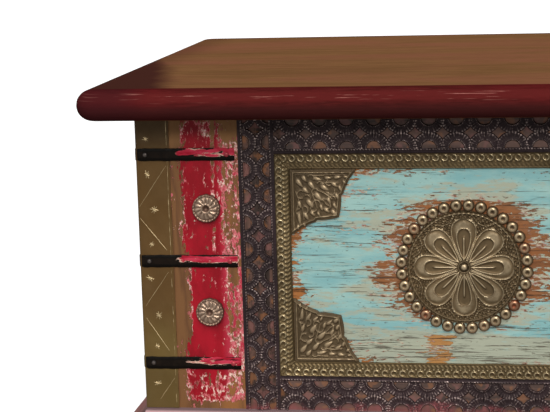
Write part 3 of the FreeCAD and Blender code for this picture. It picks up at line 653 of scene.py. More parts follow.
def ring_of_studs(name):
    """Thirty-two studs round one medallion, each with its own tone."""
    face, centre, _ = PANELS[name]
    k = np.arange(RING_STUDS)
    turn = 2 * math.pi * (k + RING_STUD_TURN) / RING_STUDS
    tone = np.modf(k * 0.618 + 0.07 * abs(centre))[0] ** 2.2
    u = centre + RING_STUD_CIRCLE * np.sin(turn)
    v = PANEL_MIDDLE + RING_STUD_CIRCLE * np.cos(turn)
    return studs_at(face, ring_stud, np.stack([u, v, 0 * u, tone], axis=-1))


# %% The rosettes
ROSETTE_RADIUS = 14.0
ROSETTE_BASE = 0.4
ROSETTE_RELIEF = 6.8
ROSETTE_SPOKES = 120
ROSETTE_PETALS = 13
ROSETTE_INSET = 68.5
ROSETTE_LEVELS = (0.3375 * BODY_HEIGHT, 0.6912 * BODY_HEIGHT)
rosette_radii = np.array([
    ROSETTE_RADIUS, 13.8, 13.3, 12.9, 12.4, 11.8, 11.4, 10.8, 10.0, 9.0, 8.0, 7.0, 6.0, 5.2, 4.6, 4.1, 3.6,
    2.8, 1.8, 0.9,
])


def rosette_height(r, turn):
    """A rounded ring about a deep hollow, with a collar, round petals and a beaded rim."""
    dome = 0.24 + 0.56 * np.sqrt(np.clip(1 - ((r - 7.2) / 8.0) ** 2, 0, 1))
    petal = np.abs(np.cos((turn + 0.03 * r) * ROSETTE_PETALS / 2)) ** 0.8
    flute = 0.19 * (petal - 0.62) * step(r, 4.4, 6.2) * (1 - step(r, 10.8, 11.8))
    groove = 0.10 * bell(r - 11.6, 0.6)
    beads = 0.16 * bell(r - 12.9, 0.8) * np.abs(np.cos(turn * ROSETTE_PETALS))
    collar = 0.12 * bell(r - 4.2, 0.8)
    hollow = 0.24 * (1 - step(r, 1.4, 3.6)) - 0.10 * bell(r, 0.8)
    return np.clip(dome + flute - groove + beads + collar - hollow, 0, 1)


def rosette_rim(turn):
    """The rim is drawn in between the petals."""
    return 0.955 + 0.045 * np.abs(np.cos(turn * ROSETTE_PETALS / 2))


def rosettes():
    """Two on each painted post of the front and the ends."""
    parts = []
    for face in DRESSED_FACES:
        for side in (-1, 1):
            for v in ROSETTE_LEVELS:
                u = side * (FACES[face][3] - ROSETTE_INSET)
                tone = 0.5 + 0.3 * math.sin(u + v)
                parts.append(polar_disc(face, u, v, rosette_radii, ROSETTE_SPOKES, rosette_height,
                                        ROSETTE_BASE, ROSETTE_RELIEF, rosette_rim, tone))
    return parts


# %% [markdown]
# The edges of the body are cased in brass sheet folded round the corner and held by three flat iron
# straps. Both are worked out unrolled: e is the distance round the corner, negative on one face and
# positive on the other. The sheet is not quite flat, as hand-cut sheet never is. The engraving was
# scratched with a point: a bright line along each edge, a zigzag from strap to strap and small
# stars. Each scratch is a narrow strip a hair above the sheet, whose thrown-up edges catch light.

# %% Working round a corner of the body
CORNERS = {"front_left": (-1, -1), "front_right": (1, -1), "back_left": (-1, 1), "back_right": (1, 1)}
SHEET_LEG = 33.0
SHEET_THICKNESS = 1.0
SHEET_COLUMNS = 12
SHEET_ROWS = 98
FOLD_DROP = 0.25
STRAP_LEVELS = (0.1585 * BODY_HEIGHT, 0.5105 * BODY_HEIGHT, 0.8713 * BODY_HEIGHT)
STRAP_HALF = 6.2
STRAP_THICKNESS = 1.2


def round_corner(corner, e, v, w):
    """Metres from the unrolled frame of a corner: e round the edge, v up, w out of the face."""
    side_x, side_y = CORNERS[corner]
    e, v, w = np.broadcast_arrays(e, v, w)
    x = side_x * (HALF_LENGTH - np.where(e >= 0, e - w, -w))
    y = side_y * (HALF_DEPTH - np.where(e >= 0, -w, -e - w))
    return np.stack([x, y, BASE + v], axis=-1).reshape(-1, 3) / 1000


def turned_over(corner, faces):
    """Faces as they are, or reversed at the two corners where the unrolled frame is a mirror image."""
    side_x, side_y = CORNERS[corner]
    return faces if side_x * side_y > 0 else flipped(faces)


def sheet_out(e, v):
    """How far the brass stands out: its thickness and a slow unevenness that dies out at the fold."""
    away = step(np.abs(e), 1.0, 12.0)
    return SHEET_THICKNESS + 0.16 * away * wobble(v * 0.9 + e * 1.3, 1.0)


def corner_sheet(corner):
    """The folded sheet: rows up the corner, columns round it, closed by the same line at no height."""
    leg = np.linspace(1.5, SHEET_LEG + 1, SHEET_COLUMNS)
    reach = np.concatenate([-leg[::-1], [-0.6, 0.6], leg])
    v = np.linspace(0.1, METAL_HEIGHT, SHEET_ROWS)[:, None]
    outer = sheet_out(reach, v)
    outer[:, SHEET_COLUMNS:SHEET_COLUMNS + 2] -= FOLD_DROP
    under = np.sign(reach) * np.clip(np.abs(reach) - outer.mean(), 0.02, None)
    e = np.concatenate([reach, under[::-1]]) + 0 * v
    w = np.concatenate([outer, np.zeros_like(outer)], axis=1)
    return patch(round_corner(corner, e, v, w), turned_over(corner, tube_faces(*e.shape)), 0.6)


def scratch(start, end, width, broken=0.0):
    """A narrow strip from start to end in (a, v) that follows the sheet; broken thins it in places."""
    run = math.hypot(end[0] - start[0], end[1] - start[1])
    count = max(2, int(run / 2) + 1)
    t = np.linspace(0, 1, count)[:, None]
    across = np.array([-1.0, -0.4, 0.4, 1.0]) * width / 2
    normal = np.array([-(end[1] - start[1]), end[0] - start[0]]) / run
    left = np.clip(1 - broken * (0.5 + 0.5 * wobble(start[1] + t * run * 1.7, 2.0)), 0, 1)
    thin = (0.45 + 0.55 * np.sin(np.pi * np.clip(t, 0.08, 0.92))) * left
    e = start[0] + (end[0] - start[0]) * t + normal[0] * across * thin
    v = start[1] + (end[1] - start[1]) * t + normal[1] * across * thin
    v = np.clip(v, 0.3, METAL_HEIGHT - 0.2)
    w = sheet_out(e, v) + np.array([-0.05, 0.12, 0.12, -0.05]) * left
    return e, v, w, [grid_faces(count, 4)[:, ::-1]], 0.55 + 0.45 * left + 0 * e


STARS = [
    (10.5, 273.6), (11.2, 238.2), (16.7, 203), (12.8, 168), (9.4, 133.6), (17.1, 95.6), (14.2, 64),
    (13.0, 25.6),
]
ZIGZAG = [((30, 246.7), (2, 206)), ((2, 194.8), (28.2, 162)), ((28.6, 140), (4, 105)), ((4, 93), (26, 60)),
          ((31, 31.5), (15, 9))]
STAR_TURNS = (12, 52, 96, 138)
EDGE_WORN_BELOW = 150


def engraving(corner):
    """Edge line, zigzag and stars on both legs, as strips that lie on the sheet."""
    strokes = [(start, end, 0.65, 0.3) for start, end in ZIGZAG]
    edge = SHEET_LEG - 1.4
    strap_edges = [level + side * STRAP_HALF for level in STRAP_LEVELS for side in (-1, 1)]
    ends = [1] + strap_edges + [METAL_HEIGHT - 1]
    for bottom, top in zip(ends[::2], ends[1::2]):
        strokes.append(((edge, bottom), (edge, top), 0.8, 0.7 if bottom > EDGE_WORN_BELOW else 1.3))
    for k, (a, v) in enumerate(STARS):
        for turn in STAR_TURNS:
            length = 3.2 + 1.2 * math.sin(turn * 1.3 + k * 2.1)
            turn = math.radians(turn + 17 * k)
            c, s = length * math.cos(turn), length * math.sin(turn)
            strokes.append(((a - c, v - s), (a + c, v + s), 0.85, 0.0))
    patches = []
    for leg in (-1, 1):
        for start, end, width, broken in strokes:
            e, v, w, faces, relief = scratch(start, end, width, broken)
            faces = turned_over(corner, faces if leg > 0 else flipped(faces))
            patches.append(patch(round_corner(corner, leg * e, v, w), faces, relief, 0.9))
    return patches


# %% The straps
STRAP_LEG = 98.0
BACK_STRAP_LEG = 62.0
STRAP_STEP = 1.9
NAIL_INSET = 9.0
NAIL_SHARE = 0.92
strap_section = np.array([(-1, -1.1), (-1, -0.35), (-0.9, 0), (-0.45, 0.05), (0, 0.06), (0.45, 0.05),
                          (0.9, 0), (1, -0.35), (1, -1.1)])
strap_relief = np.array([0, 0.1, 0.3, 1, 1, 1, 0.3, 0.1, 0])


def strap(corner, level, seed):
    """One strap: its section, with broken edges, carried round the corner and stepped down off the sheet.

    Its tone says where across the strap a point lies, from 0 at the lower edge to 1 at the upper.
    """
    last = BACK_STRAP_LEG if corner.startswith("back") else STRAP_LEG
    legs = np.arange(-STRAP_LEG, -2.0, STRAP_STEP), np.arange(3.0, last, STRAP_STEP)
    e = np.concatenate([legs[0], [-1.6, 1.6], legs[1], [last]])[:, None]
    out = STRAP_THICKNESS + SHEET_THICKNESS * (1 - step(np.abs(e), SHEET_LEG, SHEET_LEG + 2.2))
    out = out + 0.1 * wobble(e * 1.4, seed) - 1.2 * (1 - step(np.abs(e), 1.7, 5.0))
    across, height = strap_section.T
    v = level + across * (STRAP_HALF + 0.22 * wobble(e * 1.1, seed + across))
    w = np.clip(out + height, 0.05, None)
    faces = turned_over(corner, flipped(tube_faces(*w.shape)))
    return patch(round_corner(corner, e, v, w), faces, strap_relief + 0 * e, 0.5 + 0.5 * across + 0 * e)


def strap_nails():
    """Small nails near both ends of every strap leg, as the CAD has them; tone 1 marks the painted ones."""
    parts = []
    for face, (_, _, _, half) in FACES.items():
        leg, painted = (BACK_STRAP_LEG, 0.0) if face == "back" else (STRAP_LEG, 1.0)
        near = (half - NAIL_INSET, SHEET_THICKNESS + STRAP_THICKNESS, 0.0)
        far = (half - leg * NAIL_SHARE, STRAP_THICKNESS, painted)
        places = [(side * u, v, w, tone)
                  for v in STRAP_LEVELS for u, w, tone in (near, far) for side in (-1, 1)]
        parts.append(studs_at(face, strap_nail, places))
    return parts


# %% [markdown]
# Finishes. A colour picked from a screen is in sRGB, and a shader wants linear light, so a
# helper turns every triple of 0 to 255 numbers. A node's output is wrapped as a Value, and a sum with
# it adds a Math node, so masks read like sums. Three effects serve many finishes, and each is a node
# group built once: wood grain, chipped paint and rubbed metal. A group gives out only numbers; the
# Principled shader stays in each material, which keeps every finish easy to read.

# %% Helpers for node trees


def srgb(red, green, blue):
    """Linear colour from the 0 to 255 numbers of a screen colour: the sRGB curve undone."""
    values = np.array([red, green, blue]) / 255
    linear = np.where(values <= 0.04045, values / 12.92, ((values + 0.055) / 1.055) ** 2.4)
    return (*(float(v) for v in linear), 1.0)


class Value:
    """One output of a node. Each sum with it adds a Math node and gives a new Value."""

    def __init__(self, socket):
        self.socket = socket
        self.tree = socket.id_data

    def maths(self, operation, other=0.0):
        """The output of a Math node that works on this value and another."""
        return Value(new_node(self.tree, "Math", {0: self, 1: other}, operation=operation)[0])

    def __add__(self, other):
        return self.maths("ADD", other)

    def __sub__(self, other):
        return self.maths("SUBTRACT", other)

    def __rsub__(self, other):
        return Value(new_node(self.tree, "Math", {0: other, 1: self}, operation="SUBTRACT")[0])

    def __mul__(self, other):
        return self.maths("MULTIPLY", other)

    def __abs__(self):
        return self.maths("ABSOLUTE")


def new_node(tree, kind, inputs=None, **settings):
    """A node with its settings, whose inputs are constants or Values; returns its outputs."""
    made = tree.nodes.new("ShaderNode" + kind)
    for key, value in settings.items():
        setattr(made, key, value)
    for key, value in (inputs or {}).items():
        if isinstance(value, Value):
            tree.links.new(value.socket, made.inputs[key])
        else:
            made.inputs[key].default_value = value
    return made.outputs


def larger(first, second):
    """The larger of two Values."""
    return first.maths("MAXIMUM", second)


def blend(factor, first, second, how="MIX"):
    """Mix two colours, each a Value, a screen colour of three numbers or a linear one of four."""
    tree = next(value.tree for value in (factor, first, second) if isinstance(value, Value))
    first, second = (srgb(*c) if isinstance(c, tuple) and len(c) == 3 else c for c in (first, second))
    inputs = {0: factor, 6: first, 7: second}
    return Value(new_node(tree, "Mix", inputs, data_type="RGBA", blend_type=how)[2])


def span(value, low, high, to_low=0.0, to_high=1.0):
    """A smooth step of a Value from to_low at low to to_high at high."""
    inputs = {"Value": value, "From Min": low, "From Max": high, "To Min": to_low, "To Max": to_high}
    return Value(new_node(value.tree, "MapRange", inputs, interpolation_type="SMOOTHSTEP")[0])


def noise(vector, scale, detail=4.0, roughness=0.6, distortion=0.0):
    """Value noise between 0 and 1."""
    inputs = {"Vector": vector, "Scale": scale, "Detail": detail, "Roughness": roughness,
              "Distortion": distortion}
    return Value(new_node(vector.tree, "TexNoise", inputs)[0])


def stretched(vector, scale, place=(0.0, 0.0, 0.0)):
    """The vector after a Mapping node that moves and stretches it."""
    return Value(new_node(vector.tree, "Mapping", {"Vector": vector, "Location": place, "Scale": scale})[0])


def split(vector):
    """The three coordinates of a vector."""
    return [Value(out) for out in new_node(vector.tree, "SeparateXYZ", {"Vector": vector})]


def new_group(name, numbers, build):
    """A node group that takes a Vector and named numbers; build makes its named outputs from them."""
    group = bpy.data.node_groups.new(name, "ShaderNodeTree")
    group.interface.new_socket("Vector", in_out="INPUT", socket_type="NodeSocketVector")
    for label, default in numbers.items():
        socket = group.interface.new_socket(label, in_out="INPUT", socket_type="NodeSocketFloat")
        socket.default_value = default
    entry = group.nodes.new("NodeGroupInput")
    results = build(*(Value(entry.outputs[label]) for label in ("Vector", *numbers)))
    for label in results:
        group.interface.new_socket(label, in_out="OUTPUT", socket_type="NodeSocketFloat")
    leave = group.nodes.new("NodeGroupOutput")
    for label, result in results.items():
        group.links.new(result.socket, leave.inputs[label])
    return group


def use_group(group, vector, numbers):
    """A group placed in the vector's tree with its own numbers; returns its named outputs."""
    outputs = new_node(vector.tree, "Group", {"Vector": vector, **numbers}, node_tree=group)
    return {out.name: Value(out) for out in outputs}


class Finish:
    """A material being made: its shader, its object coordinates, and up, the height above the body's foot."""

    def __init__(self, name):
        self.material = bpy.data.materials.new(name)
        self.material.use_nodes = True
        self.tree = self.material.node_tree
        self.shader = next(n for n in self.tree.nodes if n.type == "BSDF_PRINCIPLED")
        self.place = Value(new_node(self.tree, "TexCoord")["Object"])
        self.x, self.y, self.z = split(self.place)
        self.up = self.z - BASE / 1000

    def attribute(self, name):
        """A number that the mesh carries for each of its points."""
        return Value(new_node(self.tree, "Attribute", attribute_name=name)["Fac"])

    def done(self, colour, roughness, height, depth, metallic=0.0, specular=0.5):
        """The material, with colour, roughness and bump in its shader; depth is in millimetres."""
        inputs = {"Height": height, "Distance": depth / 1000, "Strength": 1.0}
        bump = Value(new_node(self.tree, "Bump", inputs)[0])
        for label, value in (("Base Color", colour), ("Roughness", roughness), ("Normal", bump)):
            self.tree.links.new(value.socket, self.shader.inputs[label])
        self.shader.inputs["Metallic"].default_value = metallic
        self.shader.inputs["Specular IOR Level"].default_value = specular
        return self.material


# %% The three groups


def grain_nodes(vector, figure_scale, fibre_scale):
    """Long figure from folded noise, fine fibre, and short dark pores where the fibre is lowest."""
    broad = noise(vector, figure_scale, 5.0, 0.55, 0.6)
    rings = broad * 9.0 + noise(vector, 1.5, 2.0)
    rings = rings.maths("PINGPONG", 0.5) * 2.0
    fibre = noise(vector, fibre_scale, 6.0, 0.7)
    return {"Figure": rings * 0.35 + broad * 0.8, "Fibre": fibre, "Pores": span(fibre, 0.36, 0.27)}


def chip_nodes(vector, cover, scale, rim, broken):
    """Where paint is left, as cover and broken noise say, and the primer along its broken edge."""
    level = (noise(vector, scale, 7.0, 0.66, 0.3) - 0.5) * broken + cover
    paint = span(level, 0.48, 0.52)
    around = span(level + rim, 0.48, 0.53)
    return {"Paint": paint, "Primer": around - paint, "Height": around}


def rub_nodes(vector, relief, wear, scale, mottle, patchy):
    """Bright crests, dark ground and uneven tarnish, from the relief, the wear and noise."""
    fine = noise(vector, scale, 6.0, 0.65)
    cloud = noise(vector, 28.0, 3.0)
    raised = (fine - 0.5) * mottle + relief + (wear - 0.5)
    handled = (span(cloud, 0.40, 0.62) - 1.0) * patchy + 1.0
    polish = span(raised, 0.55, 1.02) * handled
    return {"Polish": polish, "Grime": span(cloud * 0.3 + raised, 0.58, 0.20), "Height": fine}


wood_grain = new_group("wood_grain", {"Figure Scale": 6.0, "Fibre Scale": 40.0}, grain_nodes)
chipped_paint = new_group("chipped_paint", {"Cover": 0.5, "Scale": 100.0, "Rim": 0.06, "Break": 1.0},
                          chip_nodes)
rubbed_metal = new_group("rubbed_metal", {"Relief": 0.5, "Wear": 0.5, "Scale": 120.0, "Mottle": 0.35,
                                          "Patchy": 0.0}, rub_nodes)
print("groups", wood_grain.name, chipped_paint.name, rubbed_metal.name)


def grain(vector, figure=3.0, fibre=22.0):
    """Wood grain along the axis in which the vector is stretched least."""
    return use_group(wood_grain, vector, {"Figure Scale": figure, "Fibre Scale": fibre})


def chipped(vector, cover, scale, rim, broken):
    """Chipped paint with its cover, the size of its chips, its rim of primer and how broken it is."""
    return use_group(chipped_paint, vector, {"Cover": cover, "Scale": scale, "Rim": rim, "Break": broken})


# %% [markdown]
# The metals differ only in colour, shine and scale, so one function makes them all. Tarnished brass
# is brown-olive in the ground and pale straw on the crests; the frieze iron is nearly black with
# dull pinkish crests; the corner sheets are a smoother, redder brass.

# %% Metal finishes


def metal(name, dark, middle, bright, shine, scale=140.0, wear=0.5, rough=(0.32, 0.55), tone_colour=None,
          depth=0.12, mottle=0.35, patchy=0.0, clouds=(0.82, 1.12), low_colour=None, tone_share=0.6,
          foot_colour=None):
    """A rubbed metal from three colours, its metallic share and its roughness on crests and in the ground.

    The upper parts, under the lid, are painted darker by about a seventh: painted shade from the lid. A foot
    colour is the plinth's paint, brushed over the lowest few millimetres.
    """
    finish = Finish(name)
    place, up = finish.place, finish.up
    wear_and_sheen = use_group(rubbed_metal, place, {"Relief": finish.attribute("relief"), "Wear": wear,
                                             "Scale": scale, "Mottle": mottle, "Patchy": patchy})
    if low_colour is not None:
        middle = blend(span(noise(place, 9.0, 3.0) * 0.16 + up, 0.215, 0.095), middle, low_colour)
        middle = blend(span(up, 0.243, 0.279, 0.0, 0.85), middle, (66, 47, 25))
        middle = blend(span(up, 0.051, 0.035, 0.0, 0.5), middle, dark)
    colour = blend(wear_and_sheen["Polish"], middle, bright)
    colour = blend(wear_and_sheen["Grime"], colour, dark)
    if tone_colour is not None:
        colour = blend(span(finish.attribute("tone"), 0.55, 1.0, 0.0, tone_share), colour, tone_colour)
    if foot_colour is not None:
        painted = span(noise(place, 26.0, 3.0) * 0.040 + up, 0.029, 0.020, 0.0, 0.6)
        colour = blend(painted * span(noise(place, 520.0, 2.0), 0.40, 0.58, 0.3, 1.0), colour, foot_colour)
    # painted shade: besides random clouds, the upper parts under the lid are darker by about a seventh
    shade = span(noise(place, 11.0, 4.0), 0.35, 0.7, *clouds) * span(up, 0.155, 0.240, 1.0, 0.85)
    shade = Value(new_node(finish.tree, "CombineColor", {0: shade, 1: shade, 2: shade})[0])
    colour = blend(1.0, colour, shade, "MULTIPLY")
    roughness = span(wear_and_sheen["Polish"], 0.0, 1.0, rough[1], rough[0])
    return finish.done(colour, roughness, wear_and_sheen["Height"], depth, shine)


stamped_brass = metal("stamped_brass", (62, 50, 32), (116, 98, 68), (206, 188, 150), 0.8)
plate_brass = metal("plate_brass", (36, 27, 17), (92, 75, 51), (170, 148, 116), 0.55,
                    rough=(0.42, 0.6), wear=0.53)
medallion_brass = metal("medallion_brass", (42, 32, 24), (107, 89, 63), (206, 186, 152), 0.75,
                        rough=(0.38, 0.6))
stud_brass = metal("stud_brass", (52, 38, 25), (112, 92, 68), (194, 172, 138), 0.85, wear=0.48,
                   tone_colour=(150, 72, 46))
rosette_brass = metal("rosette_brass", (54, 40, 32), (114, 87, 73), (190, 163, 140), 0.75, wear=0.48)
engraved_brass = metal("engraved_brass", (84, 60, 30), (110, 80, 42), (206, 182, 138), 0.7, 40.0, 0.5,
                       (0.38, 0.42), depth=0.04, mottle=0.12, clouds=(0.92, 1.08), low_colour=(132, 110, 60))
frieze_iron = metal("frieze_iron", (22, 14, 16), (53, 38, 40), (200, 178, 170), 0.6, 420.0, 0.48, (0.36, 0.6),
                    mottle=1.1, patchy=0.6, clouds=(0.75, 1.25), foot_colour=(156, 82, 84))
nail_iron = metal("nail_iron", (22, 19, 18), (40, 35, 33), (96, 86, 80), 0.45, tone_colour=(186, 60, 72),
                  tone_share=0.85)
hinge_steel = metal("hinge_steel", (70, 66, 62), (120, 116, 110), (170, 166, 158), 0.8, 60.0)

# %% [markdown]
# The straps are black iron where they cross the brass. Beyond it the painter went straight over
# them, so the upper half of each strap carries red with cream chips, while its lower edge stays black.

# %% Strap iron
PAINTED_TO = 0.235


def strap_finish():
    """Black iron; beyond 34 mm from the corner a cream and a red coat are left on the upper half.

    The painter did not go round the back: behind y = PAINTED_TO the straps are bare.
    """
    finish = Finish("strap_iron")
    long_grain = stretched(finish.place, (0.35, 0.35, 1.6))
    reach = larger(HALF_LENGTH / 1000 - abs(finish.x), HALF_DEPTH / 1000 - abs(finish.y))
    begin = span(reach, 0.033, 0.044) * finish.y.maths("LESS_THAN", PAINTED_TO)
    torn = (noise(long_grain, 130.0, 3.0) - 0.5) * 0.9 + finish.attribute("tone")
    across = span(torn, 0.24, 0.50) * span(torn, 1.06, 0.88)
    third = span(finish.up, 0.065, 0.055) * span(reach, 0.066, 0.052, 0.0, 0.30)
    rim = span(noise(long_grain, 90.0, 2.0), 0.40, 0.64, 0.0, 0.24)
    chips = chipped(long_grain, begin * across * 0.72 - 0.06 - third, 190.0, rim, 1.9)
    wear_and_sheen = use_group(rubbed_metal, finish.place, {"Relief": finish.attribute("relief"), "Wear": 0.2,
                                                    "Scale": 160.0})
    iron = blend(wear_and_sheen["Polish"], (10, 6, 3), (40, 28, 20))
    cream = blend(noise(long_grain, 300.0, 3.0), (176, 104, 96), (236, 214, 190))
    red = blend(span(noise(long_grain, 120.0, 4.0), 0.35, 0.65), (150, 14, 36), (196, 60, 82))
    colour = blend(chips["Paint"], blend(chips["Primer"], iron, cream), red)
    roughness = span(chips["Height"], 0.0, 1.0, 0.5, 0.42)
    return finish.done(colour, roughness, wear_and_sheen["Height"] * 0.3 + chips["Height"], 0.25, specular=0.1)


strap_iron = strap_finish()

# %% [markdown]
# The nodes of the frame and the panels are whole boards, and only their outer faces were painted. A
# helper gives plain pale wood to everything that lies more than 3 mm behind the front and the ends,
# so that the open chest shows bare boards inside.

# %% Bare wood inside, and the tones of the frame wood
BOARD_TONES = ((110, 78, 50), (164, 124, 84))


def frame_tones(finish, wood):
    """Dusty brown-pink wood, stained orange where a noise is high, pink where it is low, red at the foot."""
    stain = noise(finish.place, 62.0, 2.0)
    colour = blend(span(wood["Figure"], 0.3, 0.75), (50, 38, 33), (94, 68, 58))
    colour = blend(span(stain, 0.54, 0.62, 0.0, 0.55), colour, (134, 86, 52))
    colour = blend(span(stain, 0.46, 0.38, 0.0, 0.55), colour, (124, 80, 76))
    return blend(span(stain * 0.03 + finish.up, 0.023, 0.015, 0.0, 0.55), colour, (128, 62, 64))


def bare_inside(finish, wood, colour):
    """The colour outside, plain wood where the smaller distance to the front and end planes is over 3 mm."""
    off_front, off_end = finish.y + HALF_DEPTH / 1000, HALF_LENGTH / 1000 - abs(finish.x)
    pale = blend(span(wood["Figure"], 0.25, 0.85), *BOARD_TONES)
    pale = blend(wood["Pores"] * 0.5, pale, (66, 46, 30))
    return blend(span(off_front.maths("MINIMUM", off_end), 0.002, 0.004), colour, pale)


# %% [markdown]
# Painted posts: a red band laid over a pale primer on tan wood. It is worn through most beside the
# frieze, where only specks of red and pink are left on orange-brown wood, near the lid, where hands
# and bags rub, and at the foot. Every zone is a smooth step of the distance from the body's corner,
# and the chipped paint group breaks its edges. Beyond the post, under the frieze, the wood is bare.

# %% Painted posts


def post_paint(name, axis, half_span):
    """Paint of the posts whose distance from the corner is half_span less the size of one coordinate."""
    finish = Finish(name)
    place, up = finish.place, finish.up
    edge = half_span / 1000 - abs((finish.x, finish.y)[axis])
    up_grain = stretched(place, (9.0, 9.0, 0.8))
    low_grain = stretched(place, (1.0, 1.0, 0.42))
    wood = grain(up_grain)
    tan = blend(span(wood["Figure"], 0.3, 0.75), (93, 60, 36), (116, 79, 46))
    tan = blend(span(edge, 0.066, 0.084) * span(noise(up_grain, 5.0, 3.0), 0.36, 0.56), tan, (140, 92, 50))
    # painted light: the tan is paler in the top few centimetres under the lid, lifting the lid's shadow
    tan = blend(span(up, 0.258, 0.273, 0.0, 0.75), tan, (136, 97, 58))
    tan = blend(wood["Pores"] * 0.6, tan, (50, 32, 24))
    fall = span(edge, 0.090, 0.077, span(up, 0.025, 0.195, 0.55, 0.28), 1.0)
    patchy = (noise(low_grain, 34.0, 5.0, 0.7) - 0.5) * 1.2
    drifted = (noise(low_grain, 20.0) - 0.5) * 0.02 + edge
    scraped = span(drifted, 0.0726, 0.0742, 0.0, 0.34) * span(drifted, 0.0774, 0.0760)
    torn = span(drifted, 0.0508, 0.0490) * span(up, 0.147, 0.135, 0.0, 0.4)
    under_lid = span(up, (BODY_HEIGHT - 44) / 1000, (BODY_HEIGHT - 14) / 1000, 0.0, 0.24)
    near_floor = span(up, 0.043, 0.033, 0.0, 0.22)
    at_foot = span(up, 0.0105, 0.0045, 0.0, 0.5)
    cover = span(edge, 0.036, 0.052) * fall * 0.70 + 0.10 + patchy
    for worn in (under_lid, near_floor, at_foot, scraped * span(up, 0.135, 0.165, 0.4, 1.0),
                 torn * span(up, 0.065, 0.080)):
        cover = cover - worn
    rim = span(noise(low_grain, 80.0, 2.0), 0.40, 0.62, 0.02, 0.26) + span(edge, 0.070, 0.080, 0.0, 0.05)
    chips = chipped(low_grain, cover, 360.0, rim, 2.1)
    red = blend(span(noise(low_grain, 60.0, 4.0), 0.35, 0.7), (132, 2, 20), (162, 10, 32))
    red = blend(span(edge, 0.078, 0.088, 0.0, 0.65), red, (190, 56, 78))
    pale = blend(span(noise(place, 330.0, 3.0), 0.36, 0.54), (158, 92, 76), (204, 104, 112))
    pale = blend(span(noise(place, 240.0, 3.0), 0.50, 0.64), pale, (228, 196, 182))
    colour = blend(chips["Paint"], blend(chips["Primer"], tan, pale), red)
    colour = blend(span(edge, 0.1008, 0.1016), colour, frame_tones(finish, wood))
    colour = bare_inside(finish, wood, colour)
    roughness = span(chips["Paint"], 0.0, 1.0, 0.62, 0.46)
    return finish.done(colour, roughness, wood["Fibre"] * 0.25 + chips["Height"], 0.4, specular=0.25)


front_post_paint = post_paint("front_post_paint", 0, HALF_LENGTH)
side_post_paint = post_paint("side_post_paint", 1, HALF_DEPTH)

# %% [markdown]
# The panel boards run level, and so does everything that happened to them: thin turquoise paint
# dragged along the grain, long dry scratches, beige smears and rust-brown bare wood. Most of the
# bare wood lies against the medallion and the corner plates, where fitting the metal rubbed the
# paint off. The distance from the panel's middle, from a Mapping node, gives that ring of wear.

# %% Turquoise panels


